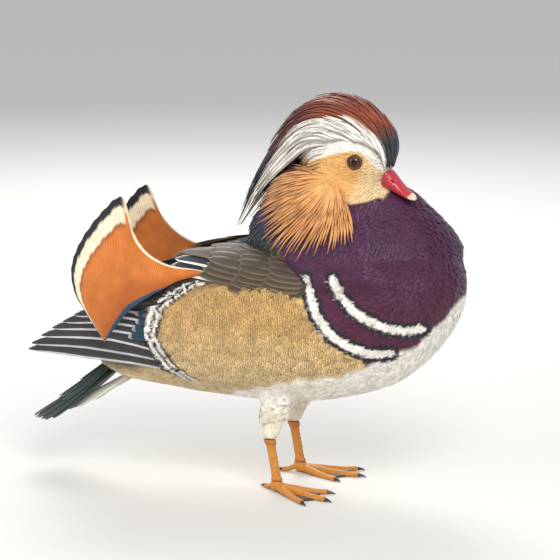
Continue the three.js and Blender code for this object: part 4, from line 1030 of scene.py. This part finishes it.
# Walks from places on the skin along a heading, staying on it: places, normals and unwrap of the start
def walk(starts, headings, reaches, stations, bend=(0, 0, 0), kept=None):
    at, up, uv = onSkin(starts)
    ground, ups = [at], [up]
    for step in range(1, stations):
        share = step / (stations - 1)
        way = headings + np.array(bend) * share
        way = unit(way - ups[-1] * (way * ups[-1]).sum(axis=1, keepdims=True))
        at, up, _ = onSkin(ground[-1] + way * (reaches / (stations - 1))[:, None])
        ground.append(kept(at, share) if kept else at)
        ups.append(up)
    return np.stack(ground, axis=1), np.stack(ups, axis=1), uv


# Plumes that lie on the skin and stand off it toward their tips. toneOf gives their colour at places
# on them, or at their starts.
def plumes(name, starts, headings, reaches, settings, highest, toneOf, finish, bend=(0, 0, 0)):
    stations, each = 6, (len(starts), 1)
    ground, ups, uv = walk(starts, headings, reaches, stations, bend)
    t = np.linspace(0, 1, stations)
    lifts = settings["low"] + (highest - settings["low"]) * t * rng.uniform(*settings["uneven"], each)
    paths = ground + ups * lifts[..., None]
    # Each plume is drawn lighter along its top ridge and darker at its edges: painted light and shade.
    colours = toneOf(paths)[:, :, None, :] * np.array(settings["ridgeLightAndShade"])[:, None]
    colours = colours * rng.uniform(1 - settings["vary"], 1 + settings["vary"], (*each, 1, 1))
    vanes(name, paths, ups, settings["width"] / 2 * spindle(t), settings["thick"], colours, finish, uv)


# Long plumes down the nape, under the crest
nape = {
    "count": 520, "from": 206, "length": 34, "width": 3.2, "thick": 0.6, "low": -0.4, "high": 3.6,
    "uneven": (0.7, 1.1), "ridgeLightAndShade": [0.8, 1.15, 0.8, 0.8], "vary": 0.18,
}


def isNape(spots):
    x, _, z = spots.T
    aside = np.abs(inHead(spots)[:, 1])
    return (z > nape["from"]) & (x < np.interp(z, [205, 240, 285], [12, 22, 24])) & ((z < 238) | (aside < 17))


def napeTone(paths):
    height = paths[..., 2]
    tone = mix(crestTones["tip"], crestTones["violet"], smooth(height, 206, 226))
    tone = mix(tone, crestTones["deep"], smooth(height, 226, 252))
    return mix(tone, crestTones["copper"], smooth(height, 256, 276))


spots = scatter(1.6, isNape)[0]
spots = spots[rng.permutation(len(spots))[:nape["count"]]]
reaches = nape["length"] * rng.uniform(0.8, 1.15, len(spots))
headings = unit(np.array([-0.45, 0, -1.0]) + rng.normal(0, 0.05, spots.shape))
plumes("nape_plumes", spots, headings, reaches, nape, nape["high"], napeTone, ("crest", "crest"))
print("nape plumes made")

# Cream plumes from behind the eye, back under the edge of the crest
brow = {
    "count": 230, "length": 36, "width": 3.0, "thick": 0.5, "low": 0.2, "high": 4.6, "rearHigh": 6,
    "uneven": (0.4, 1.1), "ridgeLightAndShade": [0.85, 1.08, 0.85, 0.85], "vary": 0.12,
}
for sideName, side in sides.items():
    count = brow["count"]
    low = rng.random(count)
    local = np.stack([rng.uniform(-36, -10, count), np.full(count, side * 30.0), -6 + 26 * low], axis=1)
    headings = unit(np.stack([-np.ones(count), np.zeros(count), -0.55 + 0.4 * low], axis=1)) @ head["axes"].T
    reaches = brow["length"] * rng.uniform(0.75, 1.15, count)
    # The rear ones stand out to meet the crest.
    highest = brow["high"] + brow["rearHigh"] * smooth(-local[:, :1], 18, 34)
    pale = mix(tones["cheek"], crestTones["white"], smooth(low, 0.3, 0.5))[:, None]
    plumes(
        f"brow_plumes_{sideName}", fromHead(local), headings, reaches, brow, highest, lambda paths: pale,
        ("head", "face"), (0, 0, -0.5),
    )
print("brow plumes made")


# Cheek hackles: number, first and last angle, root from the middle, reach, width, lift at root and tip

hackleTiers = [
    (46, 188, 320, 15, 52, 3.6, (1.4, 5.2)), (40, 188, 318, 13, 40, 3.4, (1.6, 6.2)),
    (36, 184, 316, 10, 28, 3.2, (1.6, 5.8)), (30, 184, 316, 7, 17, 2.8, (0.8, 3.6)),
]
hackleReach = profile([[180, 0.82], [215, 1.08], [255, 1.14], [290, 0.92], [322, 0.74]])
hackleTones = palette(root="#d99a4c", middle="#bf6220", tip="#8f3a12", shaft="#e8b873")
t = np.linspace(0, 1, 7)
for sideName, side in sides.items():
    rows = []
    for count, first, last, root, reach, width, lift in hackleTiers:
        for i in range(count):
            degrees = first + (last - first) * (i + rng.uniform(0.2, 0.8)) / count
            angle = math.radians(degrees)
            heading = np.array([math.cos(angle), 0, math.sin(angle)])
            start = np.array([-3, side * 26, -10]) + heading * root * rng.uniform(0.85, 1.15)
            long = reach * hackleReach(degrees) * rng.uniform(0.9, 1.1)
            rows.append((start, heading, long, width * rng.uniform(0.85, 1.15), lift))
    starts, headings, reaches, widths, lifts = map(np.array, zip(*rows))

    # Off the middle of the throat
    def keptAside(at, share):
        local = inHead(at)
        local[:, 1] = side * np.maximum(side * local[:, 1], 6 + 5 * share)
        return fromHead(local)

    ground, ups, uv = walk(
        fromHead(starts), headings @ head["axes"].T, reaches, len(t), (-0.18, 0, -0.35), keptAside,
    )
    paths = ground + ups * (lifts[:, :1] + (lifts[:, 1:] - lifts[:, :1]) * t)[..., None]
    halves = widths[:, None] / 2 * spindle(t, 0.18, 0.84, least=0.08)
    tone = mix(hackleTones["root"], hackleTones["middle"], smooth(t, 0.05, 0.4))
    tone = mix(tone, hackleTones["tip"], smooth(t, 0.6, 1.0))
    colours = np.broadcast_to(tone[None, :, None, :], (len(rows), len(t), 4, 3)).copy()
    colours[:, :, 1] = mix(tone, hackleTones["shaft"], np.full(len(t), 0.75))
    colours *= rng.uniform(0.85, 1.15, (len(rows), 1, 1, 1))
    finish = ("hackle", "hackle", f"ruff_{sideName}")
    vanes(f"hackles_{sideName}", paths, ups, halves, np.linspace(0.9, 0.35, len(t)), colours, finish, uv)
print("hackles made")


# Bill, eyes and lids

hornTones = palette(red="#b0202b", base="#8d1a26", nail="#e3c3ac")
for part in ("upper", "lower"):
    piece = copyOf([f"bill_{part}"], f"bill_{part}_horn", 0.32, 6)
    x = inHead(vertexArrays(piece.data)[0])[:, 0]
    colour = mix(hornTones["red"], hornTones["base"], smooth(40 - x, 0, 12) * 0.6)
    paint(piece.data, mix(colour, hornTones["nail"], smooth(x, 54.5, 56.5)))
    finishPiece(piece, "horn", "bill", f"bill_{part}")

eyeTones = palette(iris="#5c2c10", pupil="#050505", lid="#4a3a30")
eye = {
    "radius": 6.2, "look": (0.28, 1.0, 0.08), "pupil": (0.42, 0.47),
    "rimRadius": 5.1, "rimTube": 0.85, "rimBack": 1.75, "rimShape": (0.96, 1.06),
}


# An eye's bmesh in millimetres, looking up, moved to its place
def placeEye(shape, centre, look, stretch=(1, 1)):
    first = unit(np.cross(look, [0, 0, 1.0]))
    axes = Matrix(np.column_stack([np.cross(first, look), first, look]).tolist()).to_4x4()
    size = Matrix.Diagonal((*stretch, 1, 1)) @ Matrix.Scale(0.001, 4)
    bmesh.ops.transform(shape, matrix=Matrix.Translation((centre + shift) / 1000) @ axes @ size, verts=shape.verts)


for sideName, side in sides.items():
    look = unit(np.array(eye["look"]) * (1, side, 1)) @ head["axes"].T
    ball = bmesh.new()
    bmesh.ops.create_uvsphere(ball, u_segments=40, v_segments=27, radius=eye["radius"])
    placeEye(ball, eyes[sideName], look)
    piece = pieceOf(f"eyeball_{sideName}", ball)
    outward = unit(vertexArrays(piece.data)[0] - eyes[sideName])
    fromLook = np.arccos(np.clip(outward @ look, -1, 1))
    paint(piece.data, mix(eyeTones["pupil"], eyeTones["iris"], smooth(fromLook, *eye["pupil"])))
    finishPiece(piece, "eye", "eye", f"eye_{sideName}")
    # A thin fleshy rim round the eye
    rim = bmesh.new()
    upright = Matrix.Translation((eye["rimRadius"], 0, 0)) @ Matrix.Rotation(math.pi / 2, 4, "X")
    bmesh.ops.create_circle(rim, segments=10, radius=eye["rimTube"], matrix=upright)
    bmesh.ops.spin(
        rim, geom=rim.verts[:] + rim.edges[:], cent=(0, 0, 0), axis=(0, 0, 1), angle=2 * math.pi, steps=40,
        use_merge=True,
    )
    bmesh.ops.recalc_face_normals(rim, faces=rim.faces)
    placeEye(rim, eyes[sideName] + look * (eye["radius"] - eye["rimBack"]), look, eye["rimShape"])
    piece = pieceOf(f"eyelid_{sideName}", rim)
    paint(piece.data, np.tile(eyeTones["lid"], (len(piece.data.vertices), 1)))
    finishPiece(piece, "leg", "face")
print("bill and eyes made")


# Legs, feet and claws

skinTones = palette(leg="#c8812c", joint="#a5601f", web="#4a3a2a", claw="#2b2520")
feet = {"turn": {"right": -24, "left": -4}, "toes": [(27, 42), (0, 51), (-24, 47), (168, 15)], "ankle": (-2, 33)}
for sideName, side in sides.items():
    piece = copyOf([f"leg_{sideName}"], f"shank_{sideName}", 0.5, 3)
    z = vertexArrays(piece.data)[0][:, 2]
    joints = smooth(z, 33, 40) + smooth(14 - z, 0, 5)
    paint(piece.data, mix(skinTones["leg"], skinTones["joint"], 0.5 * np.clip(joints, 0, 1)))
    finishPiece(piece, "leg", "leg", f"leg_{sideName}")

    piece = copyOf([f"foot_{sideName}"], f"webbed_foot_{sideName}", 0.5, 3)
    places, _ = vertexArrays(piece.data)
    fromAnkle = places[:, :2] - np.array(feet["ankle"]) * (1, side)
    toToe = np.full(len(places), np.inf)
    for angle, length in feet["toes"]:
        heading = math.radians(feet["turn"][sideName] - side * angle)
        toe = np.array([[0, 0], [math.cos(heading) * length, math.sin(heading) * length]])
        toToe = np.minimum(toToe, distanceToLine(fromAnkle, toe))
    isWeb = smooth(toToe, 3.0, 4.4) * smooth(4 - places[:, 2], 0, 1) * smooth(fromAnkle[:, 0], 8, 12)
    paint(piece.data, mix(skinTones["leg"], skinTones["web"], isWeb))
    finishPiece(piece, "leg", "leg", f"foot_{sideName}")

    claws = [f"claw_{toe}_{sideName}" for toe in ("inner", "middle", "outer", "hind")]
    piece = copyOf(claws, f"claws_{sideName}", 0.2, 2)
    paint(piece.data, np.tile(skinTones["claw"], (len(piece.data.vertices), 1)))
    finishPiece(piece, "claw", "claw", *claws)
print("legs made")


# Floor, light and camera

studio = {
    "floor": {"size": 40, "colour": "#d9d6d0", "roughness": 0.8},
    "world": {"Color": (0.9, 0.93, 1.0, 1), "Strength": 0.72},
    # Place, target, size and power
    "lights": {
        "key": ((0.7, -1.3, 1.3), (0, 0, 0.17), 0.9, 24),
        "fill": ((-1.4, -1.1, 0.7), (0, 0, 0.15), 1.2, 9),
        "rim": ((-0.5, 1.3, 1.2), (0, 0, 0.2), 0.8, 18),
    },
    "camera": {
        "azimuth": math.radians(17), "elevation": math.radians(11), "distance": 2.6,
        "target": (0.029, 0.002, 0.167), "field": 0.452,
    },
}


# Adds a light or a camera that looks at a place
def addLooking(name, data, place, target):
    item = addPiece(name, data)
    item.location = place
    item.rotation_euler = (Vector(target) - Vector(place)).to_track_quat("-Z", "Y").to_euler()
    return item


bpy.ops.mesh.primitive_plane_add(size=studio["floor"]["size"], location=(0, 0, 0))
floor = bpy.context.object
floor.name = "floor"
paper = bpy.data.materials.new("pale paper")
paper.use_nodes = True
fillInputs(paper.node_tree, paper.node_tree.nodes["Principled BSDF"], {
    "Base Color": (*srgb(studio["floor"]["colour"]), 1), "Roughness": studio["floor"]["roughness"],
})
floor.data.materials.append(paper)

world = bpy.data.worlds.new("studio")
bpy.context.scene.world = world
world.use_nodes = True
fillInputs(world.node_tree, world.node_tree.nodes["Background"], studio["world"])

for name, (place, target, size, power) in studio["lights"].items():
    light = bpy.data.lights.new(name, "AREA")
    light.size = size
    light.energy = power
    addLooking(name, light, place, target)

azimuth, elevation, distance, target, field = studio["camera"].values()
away = Vector((
    math.sin(azimuth) * math.cos(elevation), -math.cos(azimuth) * math.cos(elevation), math.sin(elevation),
))
camera = addLooking("camera", bpy.data.cameras.new("camera"), Vector(target) + away * distance, target)
camera.data.sensor_width = 36
camera.data.lens = camera.data.sensor_width * distance / field
bpy.context.scene.camera = camera
bpy.context.scene.view_settings.view_transform = "Standard"

print("coat feathers", coatCount)
